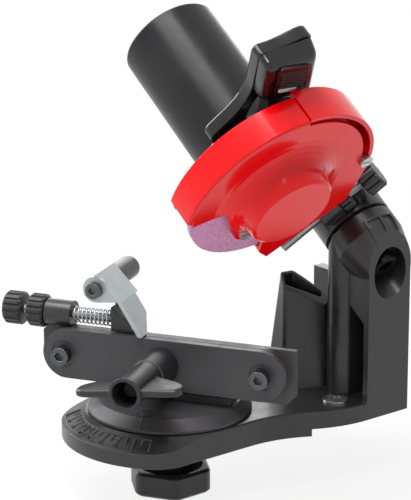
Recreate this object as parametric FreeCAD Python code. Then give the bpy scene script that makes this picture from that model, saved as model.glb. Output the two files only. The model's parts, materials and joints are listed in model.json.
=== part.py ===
import FreeCAD, Part
import math
import os

# Bench saw-chain grinder. Everything is modelled about the turntable's axis, with Z up,
# the rear of the machine at +Y and the bench face at Z = 0, and is then moved so that the
# part's origin lies midway between the two bench bolts.

V = FreeCAD.Vector

# Fits and clearances
RUN_FIT = 0.05          # radial, a turning or sliding shaft in its bore
SEAT_FIT = 0.02         # radial, pieces that are pressed or glued together
LOOSE_FIT = 0.4         # radial, a bolt through a plain hole
FACE_GAP = 0.4          # between faces that move past each other
JOIN_GAP = 0.02         # between faces that are screwed together

# Bench fixing
BOLT_SPACING = 80.0
BOLT_MID_X = 11.0
BOLT_MID_Y = 80.0
BENCH_BOLT_R = 3.2
EYELET_WALL = 1.6
EYELET_FLANGE_R = 7.2
EYELET_FLANGE_T = 1.0

# Base moulding
FLOOR_T = 10.0
FLOOR_ROUND = 1.6
CORNER_ROUND = 24.0
FRONT_DROP = 4.3
LIP_Y = 56.0
DISC_R = 61.5
RIM_TOP_Z = 4.1
BRIDGE_HALF = 48.0
REAR_LEFT_X = 45.0
FLARE_START_Y = 20.0
SCALE_BAND_IN = 50.5
SCALE_BAND_OUT = 59.0
SCALE_HALF_ANGLE = 40.0
SCALE_DEPTH = 0.8
SCALE_TICKS = 15
SCALE_STEP = 5.0
TICK_W = 0.7

# Column and hinge
CHEEK_X = 67.0
COLUMN_HALF = 15.8
COLUMN_WALL = 4.0
SLOT_W = 12.4
SLOT_DEPTH = 18.0
HINGE_Y = 105.8
HINGE_Z = 84.5
TUBE_LENGTH = 32.0
COLLAR_R = 21.0
HINGE_GAP = 2.4
RECESS_R = 12.2
RECESS_DEPTH = 12.0
HINGE_BOLT_R = 4.0
TUBE_FLOOR = 2.0
TUBE_RIBS = 3
RIB_W = 1.6
RIB_H = 1.4
RIB_STEP = 9.0
RIB_START = 6.0
RIB_TURN = -8.0
BOLT_HEAD_R = 7.5
BOLT_HEAD_H = 7.0
BOLT_SOCKET = 8.0
COLLAR_L = 32.0
BUSH_WALL = 2.0
HINGE_WASHER_R = 9.0
HINGE_WASHER_T = 1.6
HINGE_NUT_FLAT = 13.0
HINGE_NUT_T = 8.0

# Hinge spring
SPRING_R = 17.6
SPRING_WIRE = 2.2
SPRING_TURNS = 3
SPRING_PITCH = 3.4
SPRING_WELL_IN = 16.1
SPRING_WELL_OUT = 19.1
COLLAR_WELL = 1.4

# Stop post
POST_TOP_Z = 74.5
POST_MOUTH = 8.0
POST_WALL = 1.4
POST_ROUND = 3.0
POST_FOOT = ((0.0, 69.0), (18.3, 68.5), (33.5, 95.0), (33.5, 104.0), (0.0, 101.0))
POST_HEAD = ((0.5, 81.5), (8.4, 77.3), (21.0, 97.5), (16.0, 102.0), (1.0, 90.5))
WEB_LEFT_X = -7.0
WEB_TOP_Z = 71.0
WEB_T = 7.0

# Head, measured from the hub face's centre: U to the front, W up in the wheel's plane,
# G back along the motor
HEAD_TILT = math.degrees(math.atan2(3, 4))
AXIS_U = 89.2
AXIS_W = 53.9
HUB_G = 17.5

# Grinding wheel and its guard
WHEEL_R = 52.0
WHEEL_T = 3.2
WHEEL_BORE_R = 11.1
WHEEL_G = 18.9
WHEEL_GAP = 1.5
GUARD_R = 58.1
GUARD_WALL = 2.4
GUARD_BACK_G = 31.6
RING_STEP = 1.2
RING_BACK_G = 35.0
SEAM_ANGLE = 81.0
RING_END_ANGLE = 166.0
RIM_END_ANGLE = -11.5
OPEN_FROM = -105.0
OPEN_TO = -18.0
OPEN_R = 31.5
FLAT_ANGLE = -136.0
FLAT_DIST = 57.7
SIDE_DIST = 60.0
FACE_R = 53.0
BEAD_H = 1.6
BEAD_SLOPE = 0.9
RING_FRONT_G = 14.6
SPLIT_G = 24.0
TIP_U = -22.6
TIP_W = -59.5
HEEL_U = -13.8
HEEL_W = -53.4
SIDE_TOP_W = 10.0
HUB_R = 24.4
HUB_ROOT_R = 40.0
HUB_WALL = 2.0
PLATE_T = 2.0
COVER_SCREW_R = 2.0
COVER_SCREW_HEAD_R = 3.9
COVER_SCREW_HEAD_H = 2.4
LOBE_R = 6.2
LOBE_H = 3.0
COVER_BOSS_R = 4.0
LOBE_U = 12.4
LOBE_W = -25.9
GUARD_SCREW_PITCH = 36.0
WINDOW_STEP = 8.0
SHAFT_HOLE_STEP = 4.0
GUARD_SCREW_ANGLES = (30.0, 150.0, -135.0)

# Motor
MOTOR_R = 27.5
MOTOR_WALL = 1.6
MOTOR_BACK_G = 131.0
MOTOR_FRONT_G = 41.0
REAR_BEARING_SINK = 12.0
STACK_GAP = 2.0
END_CAP_T = 6.0
FLANGE_R = 46.0
FLANGE_T = 4.0
SHAFT_R = 4.0
BEARING_R = 11.0
BEARING_T = 7.0
BEARING_LIP = 1.6
RACE_T = 2.0
BALLS = 7
SOCKET_DEPTH = 7.0
ARM_HALF_LOW = 17.0
ARM_HALF_TOP = 30.0
ARM_T = 12.0
CAP_SINK = 2.0
LEAD_INLET_R = 3.5
ARMATURE_SLOTS = 10
ARMATURE_G = 62.0
MAGNET_T = 6.0
MAGNET_ARC = 140.0
AIR_GAP = 0.9
COMMUTATOR_R = 9.5
COMMUTATOR_L = 11.0
BRUSH_W = 6.0
BRUSH_L = 14.0
FAN_R = 21.0
FAN_ROOM = 5.0
FAN_T = 7.0
FAN_BLADES = 9
ARBOR_R = 5.0
NUT_R = 9.0
NUT_T = 6.5
WHEEL_FLANGE_R = 17.0
WHEEL_FLANGE_T = 3.2

# Handle
HANDLE_LEAN = 20.0
HANDLE_W = 34.0
HANDLE_BACK_U = -30.6
HANDLE_G = 38.2
HANDLE_FRONT_T = 9.0
HANDLE_REAR_T = 8.5
HANDLE_LOW_W = 47.5
HANDLE_TOP_W = 81.5
HANDLE_SLOPE = 5.0
HANDLE_CREST = 6.0
HANDLE_ROUND = 4.0
HANDLE_WALL = 2.6
NECK_W = 16.0
NECK_T = 8.0
TONGUE_H = 4.0
HANDLE_SCREW_R = 1.6
HANDLE_SCREW_INSET = 6.0
HANDLE_SCREW_BITE = 2.5
SWITCH_W = 21.0
SWITCH_FOOT = 5.5
SWITCH_BROW = 1.5
SWITCH_LOW_W = HANDLE_LOW_W + SWITCH_FOOT
SWITCH_H = HANDLE_TOP_W - HANDLE_SLOPE - SWITCH_BROW - SWITCH_LOW_W
SWITCH_PROUD = 1.4
SWITCH_TRAVEL = 1.6
SWITCH_ROUND = 3.0
SWITCH_LIP = 1.4
SWITCH_LIP_T = 1.2
SWITCH_RIBS = 7
SWITCH_RIB_W = 0.8
SWITCH_RIB_H = 0.4

# Depth screw
SCREW_ANGLE = -56.0
SCREW_HINGE_DIST = 22.6
SCREW_G = 27.0
SCREW_R = 3.0
SCREW_TIP = 37.6
SCREW_LENGTH = 64.0
SCREW_DOWN = 8.0
SCREW_BOSS_R = 7.0
SCREW_BOSS_TOP = 3.5
SCREW_BOSS_L = 13.0
STAR_R = 10.5
STAR_H = 11.0
STAR_LOBES = 8
LOCK_STAR_R = 8.5
LOCK_STAR_H = 7.0
LOCK_GAP = 0.5

# Turntable and vise
VISE_ANGLE = 30.0
TABLE_R = 46.4
TABLE_EDGE_H = 1.5
TABLE_TOP_R = 40.5
TABLE_H = 7.0
SWIVEL_BOLT_R = 4.0
SWIVEL_HEAD_R = 7.5
SWIVEL_HEAD_H = 4.0
PLINTH_L = 80.0
PLINTH_BACK = 9.0
POINTER_W = 7.0
POINTER_H = 0.6
RAIL_L = 145.0
RAIL_H = 29.0
RAIL_T = 4.5
RAIL_Z = 38.9
FRONT_FACE_N = 12.5
JAW_OPEN = 1.8
REAR_RAIL_T = 6.0
REAR_RAIL_L = 152.0
REAR_RAIL_DROP = 3.0
REAR_PLATE_T = 2.4
REAR_CUT = 10.0
GUIDE_SPAN = 119.0
GUIDE_R = 3.0
GUIDE_HEAD_R = 5.2
GUIDE_HEAD_L = 6.0
GUIDE_ROOM = 1.0
GUIDE_DISH_R = 7.6
GUIDE_DISH = 0.5
CLAMP_R = 4.0
CLAMP_HEAD_R = 8.0
CLAMP_HEAD_H = 3.0
WING_TUBE_R = 9.5
WING_ROOT_R = 8.2
WING_ROOT_N = 38.0
WING_ROUND = 4.0
WING_REST = 6.8
WING_RIM = 1.2
WING_BORE_R = 7.2
WING_BORE_DEPTH = 18.0
WING_END_N = 53.5
WING_SPAN = 31.0
WING_T = 6.0
WING_L = 10.5

# Chain stop
STOP_ROD_R = 2.5
STOP_ROD_Z = 60.0
STOP_BOSS_L = 16.0
STOP_BOSS_R = 7.5
STOP_BOSS_S = -65.0
STOP_KNOB_R = 9.5
STOP_KNOB_L = 11.0
STOP_LOCK_L = 10.0
STOP_SPRING_R = 4.3
STOP_SPRING_WIRE = 0.9
STOP_SPRING_TURNS = 9
STOP_GROOVES = 16
STOP_KNOB_GAP = 4.0
ROD_SINK = 9.0
CARRIAGE_L = 12.0
CARRIAGE_S = -26.5
CARRIAGE_FRONT_N = 7.5
WEB_FRONT_N = -11.0
WEB_BACK_N = -16.0
BARREL_R = 6.6
BARREL_BACK_N = -34.0
JOURNAL_R = 4.6
PIVOT_S = -38.5
PIVOT_Z = 79.5
PIVOT_HEAD_R = 4.6
PIVOT_HEAD_L = 3.6
EAR_R = 7.5
PIVOT_R = 2.5
PAWL_T = 1.8
PAWL_FRONT_N = 15.0
PAWL_BACK_N = -10.0
FINGER_GAP = 0.15
FINGER_W = 0.8
PAWL_LIFT = 0.8
PAWL_STEP = 3.5
PAWL_CORNER = 9.0

# Swivel lock knob
KNOB_FLAT = 43.0
KNOB_TOP_Z = -24.0
KNOB_H = 14.0
KNOB_NECK_R = 11.0
KNOB_ROUND = 7.0
KNOB_EDGE = 1.4
KNOB_COVER = 3.0
KNOB_WALL = 3.0
KNOB_HOLLOW = 7.0
SWIVEL_WASHER_T = 1.6


# Places worked out from the sizes above
TILT = math.radians(HEAD_TILT)
AXIS_D = V(math.cos(TILT), 0, -math.sin(TILT))
AXIS_V = V(math.sin(TILT), 0, math.cos(TILT))
AXIS_F = V(0, -1, 0)
HINGE = V(CHEEK_X, HINGE_Y, HINGE_Z)
HUB = HINGE - AXIS_D * HUB_G + AXIS_F * AXIS_U + AXIS_V * AXIS_W
HEAD_FRAME = FreeCAD.Placement(FreeCAD.Matrix(
    AXIS_F.x, AXIS_V.x, -AXIS_D.x, HUB.x,
    AXIS_F.y, AXIS_V.y, -AXIS_D.y, HUB.y,
    AXIS_F.z, AXIS_V.z, -AXIS_D.z, HUB.z,
    0, 0, 0, 1))
VISE_FRAME = FreeCAD.Placement(V(0, 0, 0), FreeCAD.Rotation(V(0, 0, 1), VISE_ANGLE))
ORIGIN = V(BOLT_MID_X, BOLT_MID_Y, 0)
GAP_G = TUBE_LENGTH - HUB_G
COLLAR_G = GAP_G + HINGE_GAP


# Small helpers
def rod(radius, length, base, axis=V(0, 0, 1)):
    return Part.makeCylinder(radius, length, base, axis)


def ring(outer, inner, length, base, axis=V(0, 0, 1)):
    return rod(outer, length, base, axis).cut(rod(inner, length, base, axis))


def block(x0, x1, y0, y1, z0, z1):
    return Part.makeBox(x1 - x0, y1 - y0, z1 - z0, V(x0, y0, z0))


def prism(points, direction):
    """Extrude a closed polygon of vectors along a vector."""
    return Part.Face(Part.makePolygon(points + points[:1])).extrude(direction)


def turned(profile, angle=360.0, start=0.0):
    """Revolve a closed (radius, height) outline about Z, from an angle off +X."""
    corners = [V(r, 0, z) for r, z in profile]
    face = Part.Face(Part.makePolygon(corners + corners[:1]))
    solid = face.revolve(V(0, 0, 0), V(0, 0, 1), angle)
    solid.rotate(V(0, 0, 0), V(0, 0, 1), start)
    return solid


def polar(radius, angle, z=0.0):
    a = math.radians(angle)
    return V(radius * math.cos(a), radius * math.sin(a), z)


def joined(shapes):
    whole = shapes[0].fuse(shapes[1:]) if len(shapes) > 1 else shapes[0]
    return whole.removeSplitter()


def hexagon(flat, z0, height):
    corner = flat / math.sqrt(3)
    return prism([polar(corner, 60 * k, z0) for k in range(6)], V(0, 0, height))


def star(radius, lobes, z0, height):
    """A lobed hand knob about Z: a disc with a scallop between each pair of lobes."""
    body = rod(radius, height, V(0, 0, z0))
    scallop_r = radius * math.sin(math.pi / lobes) * 0.62
    cuts = [rod(scallop_r, height + 2, polar(radius + scallop_r * 0.25, 360 * k / lobes, z0 - 1))
            for k in range(lobes)]
    return body.cut(cuts)


def export(name, shape, frame=None):
    """Write one piece, moved from its own frame to the part's origin."""
    piece = shape.copy()
    if frame is not None:
        piece.Placement = frame.multiply(piece.Placement)
    piece.translate(ORIGIN * -1)
    piece.exportStep("parts/" + name + ".step")
    print(name, piece.isValid(), len(piece.Solids), round(piece.Volume, 1))


def rounded(corners, radius):
    """A closed wire through the corners, each one rounded by an arc."""
    arcs = []
    for i, corner in enumerate(corners):
        back = (corners[i - 1] - corner).normalize()
        ahead = (corners[(i + 1) % len(corners)] - corner).normalize()
        half = back.getAngle(ahead) / 2
        reach = radius / math.tan(half)
        inset = radius / math.sin(half) - radius
        arcs.append((corner + back * reach, corner + (back + ahead).normalize() * inset,
                     corner + ahead * reach))
    edges = []
    for i, (start, middle, end) in enumerate(arcs):
        edges.append(Part.Arc(start, middle, end).toShape())
        edges.append(Part.makeLine(end, arcs[(i + 1) % len(arcs)][0]))
    return Part.Wire(edges)


def pad(corners, radius, direction):
    """Extrude a rounded outline."""
    return Part.Face(rounded(corners, radius)).extrude(direction)


def helix_tube(radius, wire, turns, pitch):
    """One unbroken coil of round wire about Z, on quarter-turn arcs, and its least gap to itself."""
    per_turn = 4
    steps = 2 * per_turn * turns
    points = [polar(radius, 360 * k / (2 * per_turn), pitch * k / (2 * per_turn)) for k in range(steps + 1)]
    edges = [Part.Arc(points[k], points[k + 1], points[k + 2]).toShape() for k in range(0, steps, 2)]
    path = Part.Wire(edges)
    tangent = edges[0].tangentAt(edges[0].FirstParameter)
    section = Part.Wire(Part.makeCircle(wire / 2, points[0], tangent))
    solid = path.makePipeShell([section], True, False)
    gap = min((a - b).Length for i, a in enumerate(points) for b in points[i + per_turn:]) - wire
    return solid, gap


# Base
BACK_Y = HINGE_Y + COLUMN_HALF
FRONT_Y = HINGE_Y - COLUMN_HALF
CONE_FALL = (FLOOR_T - RIM_TOP_Z) / (DISC_R - BRIDGE_HALF)
TUBE_WELL = SPRING_TURNS * SPRING_PITCH + SPRING_WIRE - HINGE_GAP - COLLAR_WELL + 2 * FACE_GAP
EYELET_HOLE_R = BENCH_BOLT_R + EYELET_WALL + SEAT_FIT
BENCH_HOLES = [V(BOLT_MID_X + side * BOLT_SPACING / 2, BOLT_MID_Y, 0) for side in (-1, 1)]


def cone_z(radius):
    """Height of the sloping front face at a radius from the turntable's axis."""
    return FLOOR_T - CONE_FALL * (radius - BRIDGE_HALF)


def s_curve(x0, y0, x1, y1):
    """Two equal arcs that carry one side line over to another."""
    dx, dy = (x1 - x0) / 2, (y1 - y0) / 2
    radius = (dx * dx + dy * dy) / (2 * dx)
    half = math.asin(dy / radius) / 2
    step = V(radius * (1 - math.cos(half)), radius * math.sin(half), 0)
    start, middle, end = V(x0, y0, 0), V(x0 + dx, y0 + dy, 0), V(x1, y1, 0)
    return [Part.Arc(start, start + step, middle).toShape(), Part.Arc(middle, end - step, end).toShape()]


def base_plan():
    right = V(BRIDGE_HALF, -math.sqrt(DISC_R ** 2 - BRIDGE_HALF ** 2), 0)
    left = V(-REAR_LEFT_X, -math.sqrt(DISC_R ** 2 - REAR_LEFT_X ** 2), 0)
    edges = [Part.Arc(left, V(0, -DISC_R, 0), right).toShape()]
    edges.append(Part.makeLine(right, V(BRIDGE_HALF, FLARE_START_Y, 0)))
    edges += s_curve(BRIDGE_HALF, FLARE_START_Y, CHEEK_X, FRONT_Y)
    loop = [V(CHEEK_X, FRONT_Y, 0), V(CHEEK_X, BACK_Y, 0), V(-REAR_LEFT_X, BACK_Y, 0), left]
    edges += [Part.makeLine(a, b) for a, b in zip(loop, loop[1:])]
    return Part.Face(Part.Wire(edges))


def base_floor():
    plan = base_plan()
    plan.translate(V(0, 0, -FRONT_DROP))
    slab = plan.extrude(V(0, 0, FRONT_DROP + FLOOR_T))
    slab = slab.makeFillet(CORNER_ROUND, [edge for edge in slab.Edges if edge.BoundBox.ZLength > FLOOR_T
                                          and edge.BoundBox.YMax < 0])
    slab = slab.makeFillet(FLOOR_ROUND, [edge for edge in slab.Edges if edge.BoundBox.ZMin > FLOOR_T - 1e-6])
    under = block(-2 * DISC_R, 2 * DISC_R, LIP_Y, 2 * BACK_Y, -2 * FRONT_DROP, 0)
    far = DISC_R + 2
    slope = turned([(BRIDGE_HALF, FLOOR_T), (far, cone_z(far)), (far, 2 * FLOOR_T),
                    (BRIDGE_HALF, 2 * FLOOR_T)],
                   180, 180)
    band = turned([(SCALE_BAND_IN, cone_z(SCALE_BAND_IN) - SCALE_DEPTH),
                   (SCALE_BAND_OUT, cone_z(SCALE_BAND_OUT) - SCALE_DEPTH),
                   (SCALE_BAND_OUT, FLOOR_T), (SCALE_BAND_IN, FLOOR_T)],
                  2 * SCALE_HALF_ANGLE, 270 - SCALE_HALF_ANGLE)
    return slab.cut([under, slope, band])


def scale_ticks():
    """Raised lines across the scale band, the longer ones at every second step."""
    ticks = []
    width = math.degrees(TICK_W / SCALE_BAND_IN)
    for k in range(SCALE_TICKS):
        angle = 270 + SCALE_STEP * (k - (SCALE_TICKS - 1) / 2)
        outer = SCALE_BAND_IN + (SCALE_BAND_OUT - SCALE_BAND_IN) * (0.62 if k % 2 else 0.45)
        low = SCALE_DEPTH + 0.3
        high = SCALE_DEPTH / 3
        ticks.append(turned([(SCALE_BAND_IN - 0.3, cone_z(SCALE_BAND_IN - 0.3) - low),
                             (outer, cone_z(outer) - low),
                             (outer, cone_z(outer) - high),
                             (SCALE_BAND_IN - 0.3, cone_z(SCALE_BAND_IN - 0.3) - high)], width,
                             angle - width / 2))
    return ticks


def column():
    """Rounded pillar, swept straight down from the hinge tube's end, with a flat cheek beside it."""
    end = HINGE - AXIS_D * TUBE_LENGTH
    low = FLOOR_T / 2
    mouth = Part.Face(Part.Wire([Part.Circle(end, AXIS_D, COLLAR_R).toShape()]))
    pillar = mouth.extrude(V(0, 0, -end.z)).cut(block(0, CHEEK_X, BACK_Y, 2 * BACK_Y, -FLOOR_T, HINGE_Z))
    side = [V(end.x, FRONT_Y, low), V(CHEEK_X, FRONT_Y, low), V(CHEEK_X, FRONT_Y, HINGE_Z),
            V(end.x, FRONT_Y, end.z)]
    upright = prism(side, V(0, 2 * COLUMN_HALF, 0))
    neck_l = TUBE_WELL + TUBE_FLOOR
    tube = Part.makeCone(COLUMN_HALF, COLLAR_R, TUBE_LENGTH - neck_l, HINGE, AXIS_D * -1)
    nose = rod(COLUMN_HALF, COLUMN_HALF, HINGE + AXIS_D * COLUMN_HALF, AXIS_D * -1)
    web = block(WEB_LEFT_X, end.x, BACK_Y - WEB_T, BACK_Y, low, WEB_TOP_Z)
    trim = block(CHEEK_X, 2 * CHEEK_X, FRONT_Y - COLLAR_R, BACK_Y + COLLAR_R, -FLOOR_T, 2 * HINGE_Z)
    below = block(0, CHEEK_X, FRONT_Y - COLLAR_R, BACK_Y + COLLAR_R, -HINGE_Z, low)
    return joined([pillar, upright, tube, rod(COLLAR_R, neck_l, end, AXIS_D), nose,
                   web] + tube_ribs()).cut([trim, below])


def tube_ribs():
    """Three low ribs along the tube's top, joined at their upper ends."""
    ribs = []
    spread = math.degrees(RIB_STEP / COLLAR_R)
    for k in range(TUBE_RIBS):
        rib = block(-RIB_W / 2, RIB_W / 2, COLUMN_HALF, COLLAR_R + RIB_H, -TUBE_LENGTH + RECESS_DEPTH / 2,
                    -RIB_START)
        rib.rotate(V(0, 0, 0), V(0, 0, 1), spread * (k - (TUBE_RIBS - 1) / 2) + RIB_TURN)
        ribs.append(rib)
    reach = spread * (TUBE_RIBS - 1)
    bridge = turned([(COLUMN_HALF, -RIB_START - RIB_W), (COLLAR_R + RIB_H, -RIB_START - RIB_W),
                     (COLLAR_R + RIB_H, -RIB_START), (COLUMN_HALF, -RIB_START)], reach,
                     90 + RIB_TURN - reach / 2)
    skin = turned([(0, -TUBE_LENGTH), (COLUMN_HALF + RIB_H, -TUBE_LENGTH),
                   (COLLAR_R + RIB_H, -TUBE_WELL - TUBE_FLOOR),
                   (COLLAR_R + RIB_H, 0), (0, 0)])
    frame = joined(ribs + [bridge]).common(skin)
    frame.translate(V(-AXIS_U, -AXIS_W, GAP_G))
    frame.Placement = HEAD_FRAME.multiply(frame.Placement)
    return [frame]


def column_hollow():
    """Upright slot between the pillar and the cheek, closed at the top by the tube."""
    right = CHEEK_X - COLUMN_WALL
    left = right - SLOT_W
    fall = AXIS_D.z / AXIS_D.x
    top = HINGE - AXIS_V * (COLLAR_R + COLUMN_WALL)
    outline = [V(left, 0, FLOOR_T), V(right, 0, FLOOR_T), V(right, 0, top.z + fall * (right - top.x)),
               V(left, 0, top.z + fall * (left - top.x))]
    return prism(outline, V(0, FRONT_Y + SLOT_DEPTH, 0))


def tube_cuts():
    """Bolt recess, bolt hole and spring well in the hinge tube."""
    floor = HINGE - AXIS_D * RECESS_DEPTH
    end = HINGE - AXIS_D * TUBE_LENGTH
    return [rod(RECESS_R, 3 * RECESS_DEPTH, floor, AXIS_D),
            rod(HINGE_BOLT_R + SEAT_FIT, 2 * TUBE_LENGTH, end - AXIS_D * TUBE_LENGTH, AXIS_D),
            ring(SPRING_WELL_OUT, SPRING_WELL_IN, 2 * TUBE_WELL, end - AXIS_D * TUBE_WELL, AXIS_D)]


def post_plan(corners, z, inset=0.0):
    """Outline of the stop post at a height, drawn in by the same distance all round."""
    points = [V(x, y, 0) for x, y in corners]
    plan = []
    for k, point in enumerate(points):
        before = (point - points[k - 1]).normalize()
        after = (points[(k + 1) % len(points)] - point).normalize()
        inward = (V(-before.y, before.x, 0) + V(-after.y, after.x, 0)) * (inset / (1 + before.dot(after)))
        plan.append(point + inward + V(0, 0, z))
    return plan


def stop_post():
    """Hollow tapering tower, cut off square to the depth screw, which comes down on its open mouth."""
    low = FLOOR_T / 2
    tower = Part.makeLoft([rounded(post_plan(POST_FOOT, low), POST_ROUND),
                           rounded(post_plan(POST_HEAD, POST_TOP_Z), POST_ROUND)], True)
    mouth = Part.Face(rounded(post_plan(POST_HEAD, 0, POST_WALL), POST_ROUND / 2)).extrude(V(0, 0,
                                                                                             2 * POST_TOP_Z))
    for tool, depth in ((None, 0.0), (mouth, POST_MOUTH)):
        above = block(-DISC_R, DISC_R, 0, 2 * BACK_Y, 0, POST_TOP_Z)
        above.rotate(V(0, 0, 0), V(0, 1, 0), HEAD_TILT)
        above.translate(V(POST_HEAD[0][0], 0, POST_TOP_Z) - AXIS_V * depth)
        tower = tower.cut(above if tool is None else above.common(tool))
    return tower


def base_casting():
    solid = joined([base_floor(), column(), stop_post()] + scale_ticks())
    holes = [rod(EYELET_HOLE_R, 2 * FLOOR_T, hole - V(0, 0, FLOOR_T / 2)) for hole in BENCH_HOLES]
    holes.append(rod(SWIVEL_BOLT_R + RUN_FIT, 4 * FLOOR_T, V(0, 0, -2 * FLOOR_T)))
    return solid.cut([column_hollow()] + tube_cuts() + holes)


def bench_eyelets():
    """A flanged steel sleeve in each bench hole, which takes the bolt's load."""
    sleeves = []
    for hole in BENCH_HOLES:
        sleeve = rod(BENCH_BOLT_R + EYELET_WALL, FLOOR_T, hole)
        flange = rod(EYELET_FLANGE_R, EYELET_FLANGE_T, hole + V(0, 0, FLOOR_T + JOIN_GAP))
        neck = rod(BENCH_BOLT_R + EYELET_WALL, FLOOR_T, hole + V(0, 0, EYELET_FLANGE_T))
        bore = rod(BENCH_BOLT_R, 3 * FLOOR_T, hole - V(0, 0, FLOOR_T))
        sleeves.append(joined([sleeve, neck, flange]).cut(bore))
    return Part.makeCompound(sleeves)


# Hinge, in the head's frame
PIVOT = V(-AXIS_U, -AXIS_W, 0)
COLLAR_BACK_G = COLLAR_G + COLLAR_L
WASHER_G = COLLAR_BACK_G + FACE_GAP
HINGE_NUT_G = WASHER_G + HINGE_WASHER_T + JOIN_GAP


def at_pivot(g):
    return PIVOT + V(0, 0, g)


def hinge_bolt():
    seat = RECESS_DEPTH - HUB_G
    end = HINGE_NUT_G + HINGE_NUT_T + HINGE_BOLT_R / 2
    shank = rod(HINGE_BOLT_R, end - seat + BOLT_HEAD_H / 2, at_pivot(seat - BOLT_HEAD_H / 2))
    head = rod(BOLT_HEAD_R, BOLT_HEAD_H, at_pivot(seat - JOIN_GAP - BOLT_HEAD_H))
    socket = hexagon(BOLT_SOCKET, seat - 2 * BOLT_HEAD_H, BOLT_HEAD_H * 1.4)
    socket.translate(PIVOT)
    return joined([shank, head]).cut(socket)


def hinge_bush():
    return ring(HINGE_BOLT_R + BUSH_WALL, HINGE_BOLT_R + RUN_FIT, COLLAR_L, at_pivot(COLLAR_G))


def hinge_washer():
    return ring(HINGE_WASHER_R, HINGE_BOLT_R + SEAT_FIT, HINGE_WASHER_T, at_pivot(WASHER_G))


def hinge_nut():
    nut = hexagon(HINGE_NUT_FLAT, HINGE_NUT_G, HINGE_NUT_T)
    nut.translate(PIVOT)
    return nut.cut(rod(HINGE_BOLT_R + SEAT_FIT, 2 * HINGE_NUT_T, at_pivot(HINGE_NUT_G - 1)))


def hinge_spring():
    coil, gap = helix_tube(SPRING_R, SPRING_WIRE, SPRING_TURNS, SPRING_PITCH)
    print("hinge spring least gap", round(gap, 2))
    low = COLLAR_G + COLLAR_WELL - FACE_GAP - SPRING_WIRE / 2 - SPRING_TURNS * SPRING_PITCH
    coil.translate(at_pivot(low))
    return coil


# Wheel guard, in the head's frame
PLATE_G = WHEEL_G - WHEEL_GAP - PLATE_T
FLAT_N = polar(1, FLAT_ANGLE)
RING_R = GUARD_R + RING_STEP
RING_SCREW = polar(RING_R - GUARD_WALL / 2 - COVER_SCREW_R, RING_END_ANGLE)


def sector(inner, outer, start, stop, g0, g1):
    """A ring sector between two angles and two depths."""
    return turned([(inner, g0), (outer, g0), (outer, g1), (inner, g1)], stop - start, start)


def heel_plan(inset, g):
    """Outline of the guard's straight-sided rear corner, drawn in by a wall's thickness."""
    side = -SIDE_DIST + inset
    start = polar(RING_R - inset, RING_END_ANGLE)
    low = (FLAT_DIST - inset - side * FLAT_N.x) / FLAT_N.y
    tip = V(TIP_U, TIP_W, 0) - FLAT_N * inset
    heel = V(HEEL_U, HEEL_W + inset, 0)
    corners = [V(0, 0, 0), V(start.x, start.y, 0), V(side, SIDE_TOP_W, 0), V(side, low, 0), tip, heel]
    return [corner + V(0, 0, g) for corner in corners]


def heel_wall(g0, g1):
    outer = prism(heel_plan(0, g0), V(0, 0, g1 - g0))
    inner = prism(heel_plan(GUARD_WALL, g0 - 1), V(0, 0, g1 - g0 + 2))
    return outer.cut([inner, rod(GUARD_R - 2 * GUARD_WALL, g1 - g0 + 2, V(0, 0, g0 - 1))])


def hub_profile(inset):
    """Bell outline of the hub, from its face to the plate, as (radius, depth) points."""
    flare = HUB_ROOT_R - HUB_R
    points = [(HUB_R - 1.6 - inset, inset), (HUB_R - inset, 1.4 + inset)]
    for k in range(6):
        a = math.radians(90 * k / 6)
        points.append((HUB_R + 1 + (flare - 1) * (1 - math.cos(a)) - inset,
                       PLATE_G * (0.35 + 0.65 * math.sin(a)) + inset))
    return points


def wheel_cover():
    """Front of the guard: plate, bell-shaped hub, the front rim and a lobe for its lower screw."""
    back = PLATE_G + PLATE_T
    inside = [(0, HUB_WALL)] + hub_profile(HUB_WALL) + [(HUB_ROOT_R - HUB_WALL, back)]
    disc = turned([(0, 0)] + hub_profile(0) + [(HUB_ROOT_R, PLATE_G), (FACE_R, PLATE_G),
                                               (FACE_R, back)] + inside[::-1])
    lip = PLATE_G - BEAD_H
    rim = turned([(FACE_R - 1, PLATE_G), (FACE_R + BEAD_SLOPE, PLATE_G), (FACE_R + 2 * BEAD_SLOPE, lip),
                  (GUARD_R - BEAD_SLOPE, lip), (GUARD_R, lip + BEAD_SLOPE), (GUARD_R, GUARD_BACK_G),
                  (GUARD_R - GUARD_WALL, GUARD_BACK_G), (GUARD_R - GUARD_WALL, back), (FACE_R - 1, back)],
                 SEAM_ANGLE - RIM_END_ANGLE, RIM_END_ANGLE)
    corner = prism(heel_plan(0, PLATE_G), V(0, 0, PLATE_T)).cut(rod(HUB_ROOT_R, 2 * PLATE_G, V(0, 0, 0)))
    skirt = heel_wall(PLATE_G, SPLIT_G - JOIN_GAP)
    window = sector(OPEN_R, 2 * GUARD_R, OPEN_FROM, OPEN_TO, -1, SPLIT_G)
    lobe = rod(LOBE_R, PLATE_T + LOBE_H, V(LOBE_U, LOBE_W, PLATE_G - LOBE_H))
    solid = joined([disc.cut(window), rim, corner.cut(window), skirt.cut(window), lobe])
    hub_room = turned(inside + [(0, back)])
    holes = [rod(COVER_SCREW_R + SEAT_FIT, PLATE_T + 2 * LOBE_H, V(LOBE_U, LOBE_W, PLATE_G - 2 * LOBE_H)),
             rod(COVER_SCREW_R + SEAT_FIT, 3 * PLATE_T, RING_SCREW + V(0, 0, PLATE_G - PLATE_T)),
             rod(COVER_SCREW_HEAD_R + FACE_GAP, PLATE_G, V(LOBE_U, LOBE_W, -LOBE_H)),
             rod(COVER_BOSS_R + FACE_GAP, SPLIT_G, RING_SCREW + V(0, 0, PLATE_G + PLATE_T))]
    return solid.cut([hub_room] + holes)


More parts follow.
